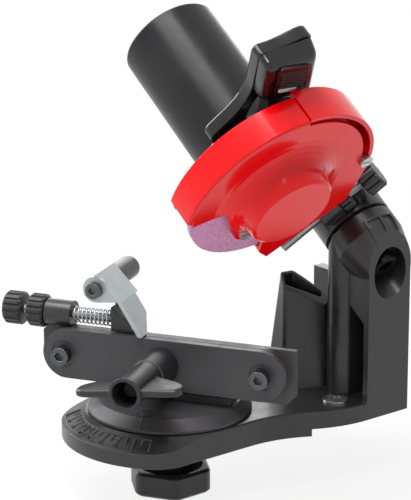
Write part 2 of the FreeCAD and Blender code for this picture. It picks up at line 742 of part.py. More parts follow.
def wheel_housing():
    """Rear of the guard: back plate, raised ring over the top and the rear corner's wall."""
    plate_front = GUARD_BACK_G - GUARD_WALL
    disc = rod(GUARD_R - GUARD_WALL - FACE_GAP, GUARD_WALL, V(0, 0, plate_front))
    top = sector(HUB_R, RING_R - 1, SEAM_ANGLE + 1, RING_END_ANGLE, plate_front, GUARD_BACK_G)
    corner = prism(heel_plan(0, plate_front), V(0, 0, GUARD_WALL))
    raised = sector(RING_R - GUARD_WALL, RING_R, SEAM_ANGLE + 0.4, RING_END_ANGLE, RING_FRONT_G, RING_BACK_G)
    wall = heel_wall(SPLIT_G, plate_front + 1)
    boss = rod(COVER_BOSS_R, plate_front - PLATE_G - PLATE_T,
               RING_SCREW + V(0, 0, PLATE_G + PLATE_T + JOIN_GAP))
    window = sector(OPEN_R + WINDOW_STEP, 2 * GUARD_R, OPEN_FROM, OPEN_TO, 0, 2 * GUARD_BACK_G)
    solid = joined([disc, top, corner, raised, wall, boss]).cut(window)
    shaft_hole = rod(WHEEL_FLANGE_R - SHAFT_HOLE_STEP, 4 * GUARD_WALL, V(0, 0, plate_front - GUARD_WALL))
    pilot = rod(COVER_SCREW_R + SEAT_FIT, GUARD_BACK_G - PLATE_G, RING_SCREW + V(0, 0, PLATE_G))
    head_room = rod(COVER_SCREW_HEAD_R + FACE_GAP, PLATE_G, RING_SCREW)
    return solid.cut([shaft_hole, pilot, head_room] + guard_screw_holes())


def pan_screw(radius, head_r, head_h, length, place):
    """A pan-head screw whose head faces -G, seated on a face at the given place."""
    shank = rod(radius, length + head_h / 2, place - V(0, 0, head_h / 2))
    head = rod(head_r, head_h, place - V(0, 0, head_h + JOIN_GAP))
    slot = block(-head_r, head_r, -0.5, 0.5, 0, head_h / 2)
    slot.translate(place - V(0, 0, head_h * 1.2))
    return joined([shank, head]).cut(slot)


def cover_screws():
    lobe_face = V(LOBE_U, LOBE_W, PLATE_G - LOBE_H)
    ring_face = RING_SCREW + V(0, 0, PLATE_G)
    return Part.makeCompound([
        pan_screw(COVER_SCREW_R, COVER_SCREW_HEAD_R, COVER_SCREW_HEAD_H, PLATE_T + LOBE_H, lobe_face),
        pan_screw(COVER_SCREW_R, COVER_SCREW_HEAD_R, COVER_SCREW_HEAD_H, 4 * PLATE_T, ring_face)])


# Head arm and motor, in the head's frame
FLANGE_G = GUARD_BACK_G + JOIN_GAP
SCREW_DIR = polar(1, SCREW_ANGLE)
SCREW_FOOT = PIVOT + polar(SCREW_HINGE_DIST, SCREW_ANGLE + 90) + V(0, 0, SCREW_G)
BEARING_G = FLANGE_G + BEARING_LIP
MAGNET_R = MOTOR_R - MOTOR_WALL - SEAT_FIT
ARMATURE_R = MAGNET_R - MAGNET_T - AIR_GAP
WINDING_L = 7.0
REAR_BEARING_G = MOTOR_BACK_G - REAR_BEARING_SINK
COMMUTATOR_G = REAR_BEARING_G - 1.5 * STACK_GAP - COMMUTATOR_L
ARMATURE_L = COMMUTATOR_G - STACK_GAP - WINDING_L - ARMATURE_G
SHAFT_END_G = REAR_BEARING_G + BEARING_T + STACK_GAP / 2
FAN_G = MOTOR_FRONT_G + FAN_ROOM
REAR_FLANGE_G = WHEEL_G + WHEEL_T + JOIN_GAP
FRONT_FLANGE_G = WHEEL_G - JOIN_GAP - WHEEL_FLANGE_T
WHEEL_NUT_G = FRONT_FLANGE_G - JOIN_GAP - NUT_T
GUARD_SCREWS = [polar(GUARD_SCREW_PITCH, angle, GUARD_BACK_G - GUARD_WALL) for angle in GUARD_SCREW_ANGLES]
SEAM_G = HANDLE_G + HANDLE_FRONT_T
LEAN = math.tan(math.radians(HANDLE_LEAN))


def guard_screw_holes():
    return [rod(COVER_SCREW_R + SEAT_FIT, GUARD_WALL + FLANGE_T,
                place - V(0, 0, 1)) for place in GUARD_SCREWS]


def guard_screws():
    length = GUARD_WALL + FLANGE_T - 2
    return Part.makeCompound([pan_screw(COVER_SCREW_R, COVER_SCREW_HEAD_R, COVER_SCREW_HEAD_H, length, place)
                              for place in GUARD_SCREWS])


def screw_at(along):
    return SCREW_FOOT + SCREW_DIR * along


def handle_u(w):
    """Rear side of the handle at a height in the wheel's plane."""
    return HANDLE_BACK_U + LEAN * w


def neck(grow=0.0):
    """Tongue on the arm that the two handle halves close round."""
    ends = (MOTOR_R / 2, HANDLE_LOW_W + TONGUE_H)
    low, high = [handle_u(w) + HANDLE_W / 2 for w in ends]
    half = NECK_W / 2 + grow
    corners = [V(low - half, ends[0], 0), V(low + half, ends[0], 0), V(high + half, ends[1] + grow, 0),
               V(high - half, ends[1] + grow, 0)]
    tongue = prism(corners, V(0, 0, NECK_T + 2 * grow))
    tongue.translate(V(0, 0, SEAM_G - NECK_T / 2 - grow))
    return tongue


def head_arm():
    """Black moulding that carries the motor: flange, swing arm, hinge collar and screw boss."""
    back = MOTOR_FRONT_G + SOCKET_DEPTH
    flange = turned([(BEARING_R, FLANGE_G), (FLANGE_R, FLANGE_G), (FLANGE_R, FLANGE_G + FLANGE_T),
                     (FLANGE_R - 8, FLANGE_G + FLANGE_T + 1.5), (MOTOR_R + 5, MOTOR_FRONT_G + 2),
                     (MOTOR_R + 2.2, back), (MOTOR_R - 2, back), (MOTOR_R - 2, MOTOR_FRONT_G),
                     (BEARING_R, MOTOR_FRONT_G)])
    toward = (PIVOT * -1).normalize()
    side = V(-toward.y, toward.x, 0)
    lift = V(0, 0, FLANGE_G)
    arm = prism([PIVOT + side * ARM_HALF_LOW + lift, PIVOT - side * ARM_HALF_LOW + lift,
                 side * -ARM_HALF_TOP + lift, side * ARM_HALF_TOP + lift], V(0, 0, ARM_T))
    collar = rod(COLLAR_R, COLLAR_L, at_pivot(COLLAR_G))
    boss = rod(SCREW_BOSS_R, SCREW_BOSS_L, screw_at(-SCREW_BOSS_TOP), SCREW_DIR)
    knob_low = SCREW_TIP - SCREW_LENGTH + STAR_H / 2 + SCREW_DOWN + FACE_GAP
    solid = joined([flange, arm, collar, boss, neck()])
    cuts = [rod(MOTOR_R + SEAT_FIT, MOTOR_BACK_G, V(0, 0, MOTOR_FRONT_G)),
            rod(BEARING_R + SEAT_FIT, MOTOR_FRONT_G, V(0, 0, BEARING_G)),
            rod(BEARING_R - BEARING_LIP, MOTOR_FRONT_G, V(0, 0, FLANGE_G - 1)),
            rod(HINGE_BOLT_R + BUSH_WALL + SEAT_FIT, 2 * COLLAR_L, at_pivot(COLLAR_G - COLLAR_L / 2)),
            ring(SPRING_WELL_OUT, SPRING_WELL_IN, 2 * COLLAR_WELL, at_pivot(COLLAR_G - COLLAR_WELL)),
            rod(LOCK_STAR_R + FACE_GAP, SCREW_LENGTH, screw_at(-SCREW_BOSS_TOP), SCREW_DIR * -1),
            rod(STAR_R + FACE_GAP, SCREW_LENGTH, screw_at(knob_low), SCREW_DIR * -1),
            rod(SCREW_R + RUN_FIT, 4 * SCREW_BOSS_L, screw_at(-2 * SCREW_BOSS_L), SCREW_DIR)]
    return solid.cut(cuts + guard_screw_holes())


def motor_tube():
    outer = rod(MOTOR_R, MOTOR_BACK_G - MOTOR_FRONT_G - JOIN_GAP, V(0, 0, MOTOR_FRONT_G + JOIN_GAP))
    rim = [edge for edge in outer.Edges if abs(edge.BoundBox.ZMin - MOTOR_BACK_G) < 1e-6]
    outer = outer.makeFillet(MOTOR_WALL * 0.9, rim)
    return outer.cut(rod(MOTOR_R - MOTOR_WALL, 2 * MOTOR_BACK_G, V(0, 0, 0)))


def motor_end_cap():
    """Dished disc pressed into the tube's rear end, with the rear bearing's seat and a lead inlet."""
    outer = MOTOR_R - MOTOR_WALL - SEAT_FIT
    disc = rod(outer, END_CAP_T, V(0, 0, MOTOR_BACK_G - END_CAP_T - CAP_SINK))
    seat = rod(BEARING_R + 3, MOTOR_BACK_G - CAP_SINK - 1 - REAR_BEARING_G, V(0, 0, REAR_BEARING_G))
    bore = rod(BEARING_R + SEAT_FIT, BEARING_T + SEAT_FIT, V(0, 0, REAR_BEARING_G - SEAT_FIT))
    clear = rod(SHAFT_R + 1, BEARING_T, V(0, 0, REAR_BEARING_G + BEARING_T / 2))
    inlet = rod(LEAD_INLET_R, 3 * END_CAP_T, V(0, (outer + BEARING_R) / 2 + 1, MOTOR_BACK_G - 2 * END_CAP_T))
    return joined([disc, seat]).cut([bore, clear, inlet])


def field_magnets():
    shells = [sector(MAGNET_R - MAGNET_T, MAGNET_R, start, start + MAGNET_ARC, ARMATURE_G,
                     ARMATURE_G + ARMATURE_L)
              for start in (-MAGNET_ARC / 2, 180 - MAGNET_ARC / 2)]
    return Part.makeCompound(shells)


def armature_core():
    core = ring(ARMATURE_R, SHAFT_R + SEAT_FIT, ARMATURE_L, V(0, 0, ARMATURE_G))
    slots = []
    for k in range(ARMATURE_SLOTS):
        angle = 360 * k / ARMATURE_SLOTS
        slots.append(rod(ARMATURE_R * 0.13, 2 * ARMATURE_L, polar(ARMATURE_R * 0.8, angle, ARMATURE_G - 1)))
        slot = block(ARMATURE_R * 0.8, 2 * ARMATURE_R, -0.9, 0.9, ARMATURE_G - 1, ARMATURE_G + 2 * ARMATURE_L)
        slot.rotate(V(0, 0, 0), V(0, 0, 1), angle)
        slots.append(slot)
    return core.cut(slots)


def armature_windings():
    """The wound ends of the armature, one bundle at each end of the core."""
    inner, outer = SHAFT_R + 2, ARMATURE_R * 0.88
    ends = []
    for g0, g1 in ((ARMATURE_G - JOIN_GAP, ARMATURE_G - WINDING_L),
                   (ARMATURE_G + ARMATURE_L + JOIN_GAP, ARMATURE_G + ARMATURE_L + WINDING_L)):
        ends.append(turned([(inner, g0), (outer, g0), (outer, (g0 + g1) / 2), (outer - 3, g1), (inner, g1)]))
    return Part.makeCompound(ends)


def commutator():
    ring_body = ring(COMMUTATOR_R, SHAFT_R + SEAT_FIT, COMMUTATOR_L, V(0, 0, COMMUTATOR_G))
    cuts = []
    for k in range(ARMATURE_SLOTS):
        cut = block(COMMUTATOR_R - 0.8, 2 * COMMUTATOR_R, -0.25, 0.25, COMMUTATOR_G - 1,
                    COMMUTATOR_G + 2 * COMMUTATOR_L)
        cut.rotate(V(0, 0, 0), V(0, 0, 1), 360 * (k + 0.5) / ARMATURE_SLOTS)
        cuts.append(cut)
    return ring_body.cut(cuts)


def motor_shaft():
    shoulder = REAR_FLANGE_G + WHEEL_FLANGE_T
    return turned([(0, WHEEL_NUT_G - 2), (ARBOR_R, WHEEL_NUT_G - 2), (ARBOR_R, shoulder),
                   (ARBOR_R + 2, shoulder),
                   (ARBOR_R + 2, BEARING_G - JOIN_GAP), (SHAFT_R, BEARING_G - JOIN_GAP),
                   (SHAFT_R, SHAFT_END_G),
                   (0, SHAFT_END_G)])


def cooling_fan():
    hub = ring(SHAFT_R + 5, SHAFT_R + SEAT_FIT, FAN_T, V(0, 0, FAN_G))
    disc = ring(FAN_R, SHAFT_R + 1, 1.2, V(0, 0, FAN_G))
    blades = []
    for k in range(FAN_BLADES):
        blade = block(SHAFT_R + 3, FAN_R - 0.5, -0.6, 0.6, FAN_G, FAN_G + FAN_T)
        blade.rotate(V(SHAFT_R + 3, 0, 0), V(0, 0, 1), 18)
        blade.rotate(V(0, 0, 0), V(0, 0, 1), 360 * k / FAN_BLADES)
        blades.append(blade)
    room = ring(2 * FAN_R, FAN_R, 2 * FAN_T, V(0, 0, FAN_G - 1))
    return joined([hub, disc] + blades).cut(room)


def bearing_rings(inner, outer):
    return Part.makeCompound([ring(outer, inner, BEARING_T, V(0, 0, g)) for g in (BEARING_G, REAR_BEARING_G)])


def bearing_outer_rings():
    return bearing_rings(BEARING_R - RACE_T, BEARING_R)


def bearing_inner_rings():
    return bearing_rings(SHAFT_R + SEAT_FIT, SHAFT_R + RACE_T)


def bearing_balls():
    reach = BEARING_R - SHAFT_R - 2 * RACE_T
    middle = SHAFT_R + RACE_T + reach / 2
    return Part.makeCompound([Part.makeSphere(reach / 2 - RUN_FIT,
                                              polar(middle, 360 * k / BALLS, g + BEARING_T / 2))
                              for g in (BEARING_G, REAR_BEARING_G) for k in range(BALLS)])


def brush_holder():
    """Insulating plate behind the commutator with a guide for each brush."""
    plate = ring(MOTOR_R - MOTOR_WALL - SEAT_FIT, COMMUTATOR_R + 1.5, 2.0, V(0, 0, COMMUTATOR_G - 1.5))
    guides = []
    rooms = []
    half = BRUSH_W / 2
    for side in (1, -1):
        near, far = COMMUTATOR_R + 2.5, MOTOR_R - MOTOR_WALL - 1
        x0, x1 = (near, far) if side > 0 else (-far, -near)
        guides.append(block(x0, x1, -half - 1.2, half + 1.2, COMMUTATOR_G - 1.5,
                            COMMUTATOR_G + BRUSH_W + 2.2))
        rooms.append(block(x0 - 9, x1 + 9, -half - SEAT_FIT, half + SEAT_FIT, COMMUTATOR_G + 1 - SEAT_FIT,
                           COMMUTATOR_G + 1 + BRUSH_W + SEAT_FIT))
    return joined([plate] + guides).cut(rooms)


def carbon_brushes():
    half = BRUSH_W / 2
    near, far = COMMUTATOR_R + RUN_FIT, COMMUTATOR_R + BRUSH_L
    return Part.makeCompound([block(x0, x1, -half, half, COMMUTATOR_G + 1, COMMUTATOR_G + 1 + BRUSH_W)
                              for x0, x1 in ((near, far), (-far, -near))])


# Wheel and its clamping
def grinding_wheel():
    return ring(WHEEL_R, WHEEL_BORE_R, WHEEL_T, V(0, 0, WHEEL_G))


def wheel_rear_flange():
    collar = rod(WHEEL_FLANGE_R, WHEEL_FLANGE_T, V(0, 0, REAR_FLANGE_G))
    spigot = rod(WHEEL_BORE_R - SEAT_FIT, WHEEL_T, V(0, 0, WHEEL_G + WHEEL_T / 4))
    return joined([collar, spigot]).cut(rod(ARBOR_R + SEAT_FIT, 4 * WHEEL_T, V(0, 0, WHEEL_G)))


def wheel_front_flange():
    return ring(WHEEL_FLANGE_R, ARBOR_R + SEAT_FIT, WHEEL_FLANGE_T, V(0, 0, FRONT_FLANGE_G))


def wheel_nut():
    return hexagon(2 * NUT_R * math.cos(math.radians(30)), WHEEL_NUT_G, NUT_T).cut(
        rod(ARBOR_R + SEAT_FIT, 2 * NUT_T, V(0, 0, WHEEL_NUT_G - 1)))


# Handle and switch
def handle_plan(inset, crest, g):
    low, high = HANDLE_LOW_W + inset, HANDLE_TOP_W - inset
    shift = V(inset, 0, g)
    front = HANDLE_W - 2 * inset
    return [V(handle_u(low), low, 0) + shift, V(handle_u(low) + front, low, 0) + shift,
            V(handle_u(high - HANDLE_SLOPE) + front, high - HANDLE_SLOPE, 0) + shift,
            V(handle_u(high + crest), high + crest, 0) + shift]


def switch_plan(grow, g):
    half = SWITCH_W / 2 + grow
    rows = (SWITCH_LOW_W - grow, SWITCH_LOW_W + SWITCH_H + grow)
    low, high = [handle_u(w) + HANDLE_W / 2 for w in rows]
    return [V(low - half, rows[0], g), V(low + half, rows[0], g), V(high + half, rows[1], g),
            V(high - half, rows[1], g)]


def handle_shell(crest, g0, thickness, outer_g):
    """One half of the handle: a rounded block, softened at its outer face and hollow at the seam."""
    solid = pad(handle_plan(0, crest, g0), HANDLE_ROUND, V(0, 0, thickness))
    edges = [edge for edge in solid.Edges
             if abs(edge.BoundBox.ZMin - outer_g) < 1e-6 and abs(edge.BoundBox.ZMax - outer_g) < 1e-6]
    solid = solid.makeFillet(HANDLE_WALL * 0.9, edges)
    start = g0 + HANDLE_WALL if outer_g == g0 else g0 - HANDLE_WALL
    room = pad(handle_plan(HANDLE_WALL, crest, start), HANDLE_ROUND - HANDLE_WALL / 2, V(0, 0, thickness))
    return solid.cut([room, neck(JOIN_GAP)])


def handle_screw_places():
    high = HANDLE_TOP_W - HANDLE_SLOPE - HANDLE_SCREW_INSET
    return [V(handle_u(high) + HANDLE_W - HANDLE_SCREW_INSET, high, 0),
            V(handle_u(high) + HANDLE_SCREW_INSET, high, 0)]


def handle_front():
    shell = handle_shell(0, HANDLE_G, HANDLE_FRONT_T, HANDLE_G)
    window = pad(switch_plan(FACE_GAP, HANDLE_G - 1), SWITCH_ROUND, V(0, 0, HANDLE_WALL + 2))
    posts = [rod(HANDLE_SCREW_R + 1.4, HANDLE_FRONT_T - HANDLE_WALL / 2,
                 place + V(0, 0, HANDLE_G + HANDLE_WALL / 2))
             for place in handle_screw_places()]
    pilots = [rod(HANDLE_SCREW_R + SEAT_FIT, HANDLE_FRONT_T, place + V(0, 0, HANDLE_G + HANDLE_WALL))
              for place in handle_screw_places()]
    paddle_room = pad(switch_plan(SWITCH_LIP + FACE_GAP, HANDLE_G + HANDLE_WALL), SWITCH_ROUND,
                      V(0, 0, HANDLE_FRONT_T))
    return joined([shell] + posts).cut(pilots + [window, paddle_room])


def handle_rear():
    start = SEAM_G + JOIN_GAP
    shell = handle_shell(HANDLE_CREST, start, HANDLE_REAR_T, start + HANDLE_REAR_T)
    posts = [rod(HANDLE_SCREW_R + 1.4, HANDLE_REAR_T - 1,
                 place + V(0, 0, start)) for place in handle_screw_places()]
    holes = [rod(HANDLE_SCREW_R + SEAT_FIT, 2 * HANDLE_REAR_T, place + V(0, 0, start - 1))
             for place in handle_screw_places()]
    return joined([shell] + posts).cut(holes)


def handle_screws():
    screws = []
    for place in handle_screw_places():
        face = SEAM_G + JOIN_GAP + HANDLE_REAR_T
        shank = rod(HANDLE_SCREW_R, face - SEAM_G + HANDLE_SCREW_BITE,
                    place + V(0, 0, SEAM_G - HANDLE_SCREW_BITE))
        head = rod(2 * HANDLE_SCREW_R, 1.6, place + V(0, 0, face + JOIN_GAP))
        screws.append(joined([shank, head, rod(HANDLE_SCREW_R, 1, place + V(0, 0, face))]))
    return Part.makeCompound(screws)


def switch_paddle():
    """Press switch in the handle's front, held in by a lip behind the wall."""
    lip_g = HANDLE_G + HANDLE_WALL + FACE_GAP
    face = pad(switch_plan(0, HANDLE_G - SWITCH_PROUD), SWITCH_ROUND, V(0, 0, SWITCH_PROUD + HANDLE_WALL + 1))
    lip = pad(switch_plan(SWITCH_LIP, lip_g), SWITCH_ROUND, V(0, 0, SWITCH_LIP_T))
    ribs = []
    plan = switch_plan(-2.5, HANDLE_G - SWITCH_PROUD - SWITCH_RIB_H)
    for k in range(SWITCH_RIBS):
        row = (k + 1) / (SWITCH_RIBS + 1.0)
        left = plan[0] + (plan[3] - plan[0]) * row
        ribs.append(block(left.x, left.x + SWITCH_W - 5, left.y, left.y + SWITCH_RIB_W, left.z,
                          left.z + 2 * SWITCH_RIB_H))
    return joined([face, lip] + ribs)


def switch_body():
    """Snap switch in the rear half, behind the paddle."""
    middle = SWITCH_LOW_W + SWITCH_H / 2
    u = handle_u(middle) + HANDLE_W / 2
    front = HANDLE_G + HANDLE_WALL + FACE_GAP + SWITCH_LIP_T + SWITCH_TRAVEL + FACE_GAP
    back = SEAM_G + HANDLE_REAR_T - HANDLE_WALL
    return block(u - 6, u + 6, middle - 5, middle + 5, front, back)


# Depth screw
def about_screw(shape):
    """Stand a piece that was made about Z on the depth screw's axis, at its foot."""
    placed = shape.copy()
    placed.Placement = FreeCAD.Placement(SCREW_FOOT,
                                         FreeCAD.Rotation(V(0, 0, 1), SCREW_DIR)).multiply(placed.Placement)
    return placed


def depth_rod():
    return about_screw(rod(SCREW_R, SCREW_LENGTH, V(0, 0, SCREW_TIP - SCREW_LENGTH)))


def depth_knob():
    low = SCREW_TIP - SCREW_LENGTH - STAR_H / 2
    knob = star(STAR_R, STAR_LOBES, low, STAR_H)
    return about_screw(knob.cut(rod(SCREW_R + RUN_FIT, STAR_H, V(0, 0, SCREW_TIP - SCREW_LENGTH - RUN_FIT))))


def depth_lock_nut():
    low = -SCREW_BOSS_TOP - LOCK_GAP - LOCK_STAR_H
    return about_screw(star(LOCK_STAR_R, STAR_LOBES, low, LOCK_STAR_H).cut(
        rod(SCREW_R + RUN_FIT, 2 * LOCK_STAR_H, V(0, 0, low - 1))))


# Turntable and vise, drawn square with X along the rails and -Y to the front
TABLE_Z = FLOOR_T + FACE_GAP
TABLE_TOP_Z = TABLE_Z + TABLE_H
JAW_BACK_N = FRONT_FACE_N - RAIL_T
REAR_FACE_N = JAW_BACK_N - JAW_OPEN
REAR_MID_N = REAR_FACE_N - REAR_RAIL_T / 2
RAIL_LOW_Z = RAIL_Z - RAIL_H / 2
RAIL_TOP_Z = RAIL_Z + RAIL_H / 2
REAR_LOW_Z = RAIL_LOW_Z - REAR_RAIL_DROP
REAR_TOP_Z = RAIL_TOP_Z - FACE_GAP
GUIDES = [V(side * GUIDE_SPAN / 2, 0, RAIL_Z) for side in (-1, 1)]
BACK = V(0, 1, 0)
WING_START_N = FRONT_FACE_N + FACE_GAP
WING_TIP_N = FRONT_FACE_N + WING_END_N


def front(s, n, z):
    """A point from its place along the rails, towards the front and up."""
    return V(s, -n, z)


def bar(radius, n0, n1, s, z):
    """A round bar from front to back of the vise."""
    return rod(radius, abs(n1 - n0), front(s, max(n0, n1), z), BACK)


def turntable():
    disc = turned([(0, TABLE_Z), (TABLE_R, TABLE_Z), (TABLE_R, TABLE_Z + TABLE_EDGE_H),
                   (TABLE_TOP_R, TABLE_TOP_Z),
                   (0, TABLE_TOP_Z)])
    plinth = block(-PLINTH_L / 2, PLINTH_L / 2, -REAR_FACE_N, PLINTH_BACK, TABLE_Z + 1, REAR_LOW_Z - JOIN_GAP)
    rib_back = block(-PLINTH_L / 2, PLINTH_L / 2, -REAR_FACE_N + REAR_RAIL_T + JOIN_GAP, PLINTH_BACK,
                     TABLE_Z + 1, RAIL_Z)
    slope = turned([(TABLE_TOP_R - 2, TABLE_TOP_Z), (TABLE_R, TABLE_Z + TABLE_EDGE_H),
                    (TABLE_R + 9, TABLE_TOP_Z * 3),
                    (TABLE_TOP_R - 2, TABLE_TOP_Z * 3)])
    mark = prism([front(-POINTER_W / 2, TABLE_TOP_R - POINTER_W, TABLE_TOP_Z - JOIN_GAP),
                  front(POINTER_W / 2, TABLE_TOP_R - POINTER_W, TABLE_TOP_Z - JOIN_GAP),
                  front(0, TABLE_TOP_R, TABLE_TOP_Z - JOIN_GAP)], V(0, 0, POINTER_H))
    body = joined([disc, joined([plinth, rib_back]).cut(slope), mark])
    holes = [rod(SWIVEL_BOLT_R + SEAT_FIT, TABLE_TOP_Z, V(0, 0, 0)),
             rod(SWIVEL_HEAD_R + SEAT_FIT, TABLE_TOP_Z, V(0, 0, TABLE_TOP_Z - SWIVEL_HEAD_H - JOIN_GAP)),
             bar(CLAMP_HEAD_R + FACE_GAP, -TABLE_R, REAR_FACE_N, 0, RAIL_Z)]
    return body.cut(holes)


def swivel_bolt():
    head = rod(SWIVEL_HEAD_R, SWIVEL_HEAD_H, V(0, 0, TABLE_TOP_Z - SWIVEL_HEAD_H))
    shank = rod(SWIVEL_BOLT_R, TABLE_TOP_Z - SWIVEL_HEAD_H / 2 - KNOB_LOW_Z - KNOB_COVER,
                V(0, 0, KNOB_LOW_Z + KNOB_COVER))
    return joined([head, shank])


def rail_plate(length, height, n0, n1):
    """A flat bar on edge with fully rounded ends."""
    reach = (length - height) / 2
    ends = [bar(height / 2, n0, n1, side * reach, RAIL_Z) for side in (-1, 1)]
    return joined(ends + [block(-reach, reach, -max(n0, n1), -min(n0, n1), RAIL_Z - height / 2,
                                RAIL_Z + height / 2)])


def front_rail():
    plate = rail_plate(RAIL_L, RAIL_H, JAW_BACK_N, FRONT_FACE_N)
    holes = [bar(GUIDE_R + RUN_FIT, 0, 2 * FRONT_FACE_N, guide.x, RAIL_Z) for guide in GUIDES]
    holes += [bar(GUIDE_DISH_R, FRONT_FACE_N - GUIDE_DISH, 2 * FRONT_FACE_N, guide.x,
                  RAIL_Z) for guide in GUIDES]
    return plate.cut(holes + [bar(CLAMP_R + RUN_FIT, 0, 2 * FRONT_FACE_N, 0, RAIL_Z)])


def rear_rail():
    """Fixed rail: a round-ended face plate on a square bar, cut down on the left for the stop's knobs."""
    half = REAR_RAIL_L / 2
    step = STOP_KNOB_R + RAIL_TOP_Z - STOP_ROD_Z + 1
    bar_n = REAR_FACE_N - REAR_PLATE_T
    side = [front(-half, bar_n, REAR_LOW_Z + REAR_CUT), front(-half + REAR_CUT, bar_n, REAR_LOW_Z),
            front(half - REAR_CUT / 2, bar_n, REAR_LOW_Z), front(half, bar_n, REAR_LOW_Z + REAR_CUT / 2),
            front(half, bar_n, REAR_TOP_Z), front(-half + step, bar_n, REAR_TOP_Z),
            front(-half, bar_n, REAR_TOP_Z - step)]
    plate = joined([prism(side, V(0, REAR_RAIL_T - REAR_PLATE_T, 0)),
                    rail_plate(RAIL_L, RAIL_H - 2 * FACE_GAP, bar_n, REAR_FACE_N)])
    holes = [bar(GUIDE_R + SEAT_FIT, -2 * REAR_RAIL_T, 2 * REAR_RAIL_T, guide.x, RAIL_Z) for guide in GUIDES]
    return plate.cut(holes + [bar(CLAMP_R + SEAT_FIT, -2 * REAR_RAIL_T, 2 * REAR_RAIL_T, 0, RAIL_Z)])


def jaw_guide_screws():
    """Socket screws in the fixed rail that the front rail slides on."""
    screws = []
    seat = FRONT_FACE_N + GUIDE_ROOM
    for guide in GUIDES:
        shank = bar(GUIDE_R, REAR_FACE_N - REAR_RAIL_T, seat + GUIDE_HEAD_L / 2, guide.x, RAIL_Z)
        head = bar(GUIDE_HEAD_R, seat, seat + GUIDE_HEAD_L, guide.x, RAIL_Z)
        socket = hexagon(GUIDE_HEAD_R, 0, GUIDE_HEAD_L)
        socket.rotate(V(0, 0, 0), V(1, 0, 0), 90)
        socket.translate(front(guide.x, seat + GUIDE_HEAD_L / 2, RAIL_Z))
        screws.append(joined([shank, head]).cut(socket))
    return Part.makeCompound(screws)


def clamp_bolt():
    head = bar(CLAMP_HEAD_R, REAR_FACE_N - REAR_RAIL_T - JOIN_GAP, REAR_FACE_N - REAR_RAIL_T - CLAMP_HEAD_H,
               0, RAIL_Z)
    shank = bar(CLAMP_R, REAR_FACE_N - REAR_RAIL_T - CLAMP_HEAD_H / 2, WING_TIP_N - WING_BORE_DEPTH / 2, 0,
                RAIL_Z)
    return joined([head, shank])


def wing_nut():
    """Clamp nut: a long barrel, open at its front end, with a tapering wing on each side."""
    barrel = Part.makeCone(WING_TUBE_R, WING_ROOT_R, WING_TIP_N - WING_START_N, front(0, WING_TIP_N, 0), BACK)
    wings = []
    for side in (1, -1):
        plan = [front(0, WING_ROOT_N, -WING_T / 2), front(side * WING_TUBE_R, WING_ROOT_N, -WING_T / 2),
                front(side * WING_SPAN, WING_TIP_N - WING_L, -WING_T / 2),
                front(side * WING_SPAN, WING_TIP_N, -WING_T / 2),
                front(0, WING_TIP_N, -WING_T / 2)]
        wing = pad(plan, WING_ROUND, V(0, 0, WING_T))
        rims = [edge for edge in wing.Edges if edge.BoundBox.ZLength < 1e-6]
        wings.append(wing.makeFillet(WING_T * 0.42, rims))
    rim = [edge for edge in barrel.Edges if edge.BoundBox.YMax < -WING_TIP_N + 1e-6]
    body = joined([barrel.makeFillet(WING_RIM, rim)] + wings)
    body = body.cut([rod(WING_BORE_R, WING_BORE_DEPTH + 1, front(0, WING_TIP_N + 1, 0), BACK),
                     rod(CLAMP_R + RUN_FIT, 2 * WING_TIP_N, front(0, WING_TIP_N, 0), BACK)])
    body.rotate(V(0, 0, 0), BACK, -WING_REST)
    body.translate(V(0, 0, RAIL_Z))
    return body


# Chain stop
BOSS_END_S = STOP_BOSS_S + STOP_BOSS_L / 2
LOCK_END_S = STOP_BOSS_S - STOP_BOSS_L / 2 - LOCK_GAP
KNOB_END_S = LOCK_END_S - STOP_LOCK_L - STOP_KNOB_GAP
STOP_AXIS = V(1, 0, 0)
FOOT_Z = RAIL_TOP_Z + FACE_GAP
PAWL_TOP = (PIVOT_S + 0.8, PIVOT_Z + 9.3)
PAWL_BEND = (PIVOT_S + 15.2, PIVOT_Z - 5.9)
PAWL_TIP = (PIVOT_S + 29.7, PIVOT_Z - 28.6)


def stop_rod_at(s):
    return front(s, REAR_MID_N, STOP_ROD_Z)


def stop_block():
    """Boss on the fixed rail's left end that the stop's rod is threaded through."""
    boss = rod(STOP_BOSS_R, STOP_BOSS_L, stop_rod_at(STOP_BOSS_S - STOP_BOSS_L / 2), STOP_AXIS)
    half = REAR_RAIL_T / 2
    foot = block(BOSS_END_S - STOP_BOSS_L + 3, BOSS_END_S, -REAR_MID_N - half, -REAR_MID_N + half,
                 REAR_TOP_Z + JOIN_GAP, STOP_ROD_Z)
    bore = rod(STOP_ROD_R + RUN_FIT, 4 * STOP_BOSS_L, stop_rod_at(STOP_BOSS_S - 2 * STOP_BOSS_L), STOP_AXIS)
    under = block(-REAR_RAIL_L, 0, -FRONT_FACE_N, FRONT_FACE_N, 0, REAR_TOP_Z + JOIN_GAP)
    return joined([boss, foot]).cut([bore, under])


def ribbed_knob(radius, length, s):
    """Round hand knob with grip grooves, about the stop's rod, starting at a place along the rails."""
    body = rod(radius, length, V(0, 0, 0))
    rim = [edge for edge in body.Edges if len(edge.Vertexes) == 1]
    body = body.makeChamfer(radius / 8, rim)
    grooves = [rod(radius / 9, 2 * length,
                   polar(radius, 360 * k / STOP_GROOVES, -1)) for k in range(STOP_GROOVES)]
    body = body.cut(grooves)
    body.rotate(V(0, 0, 0), V(0, 1, 0), 90)
    body.translate(stop_rod_at(s))
    return body


def stop_adjuster_knob():
    knob = ribbed_knob(STOP_KNOB_R, STOP_KNOB_L, KNOB_END_S - STOP_KNOB_L)
    return knob.cut(rod(STOP_ROD_R + SEAT_FIT, STOP_KNOB_L, stop_rod_at(KNOB_END_S - STOP_KNOB_L / 2),
                        STOP_AXIS))


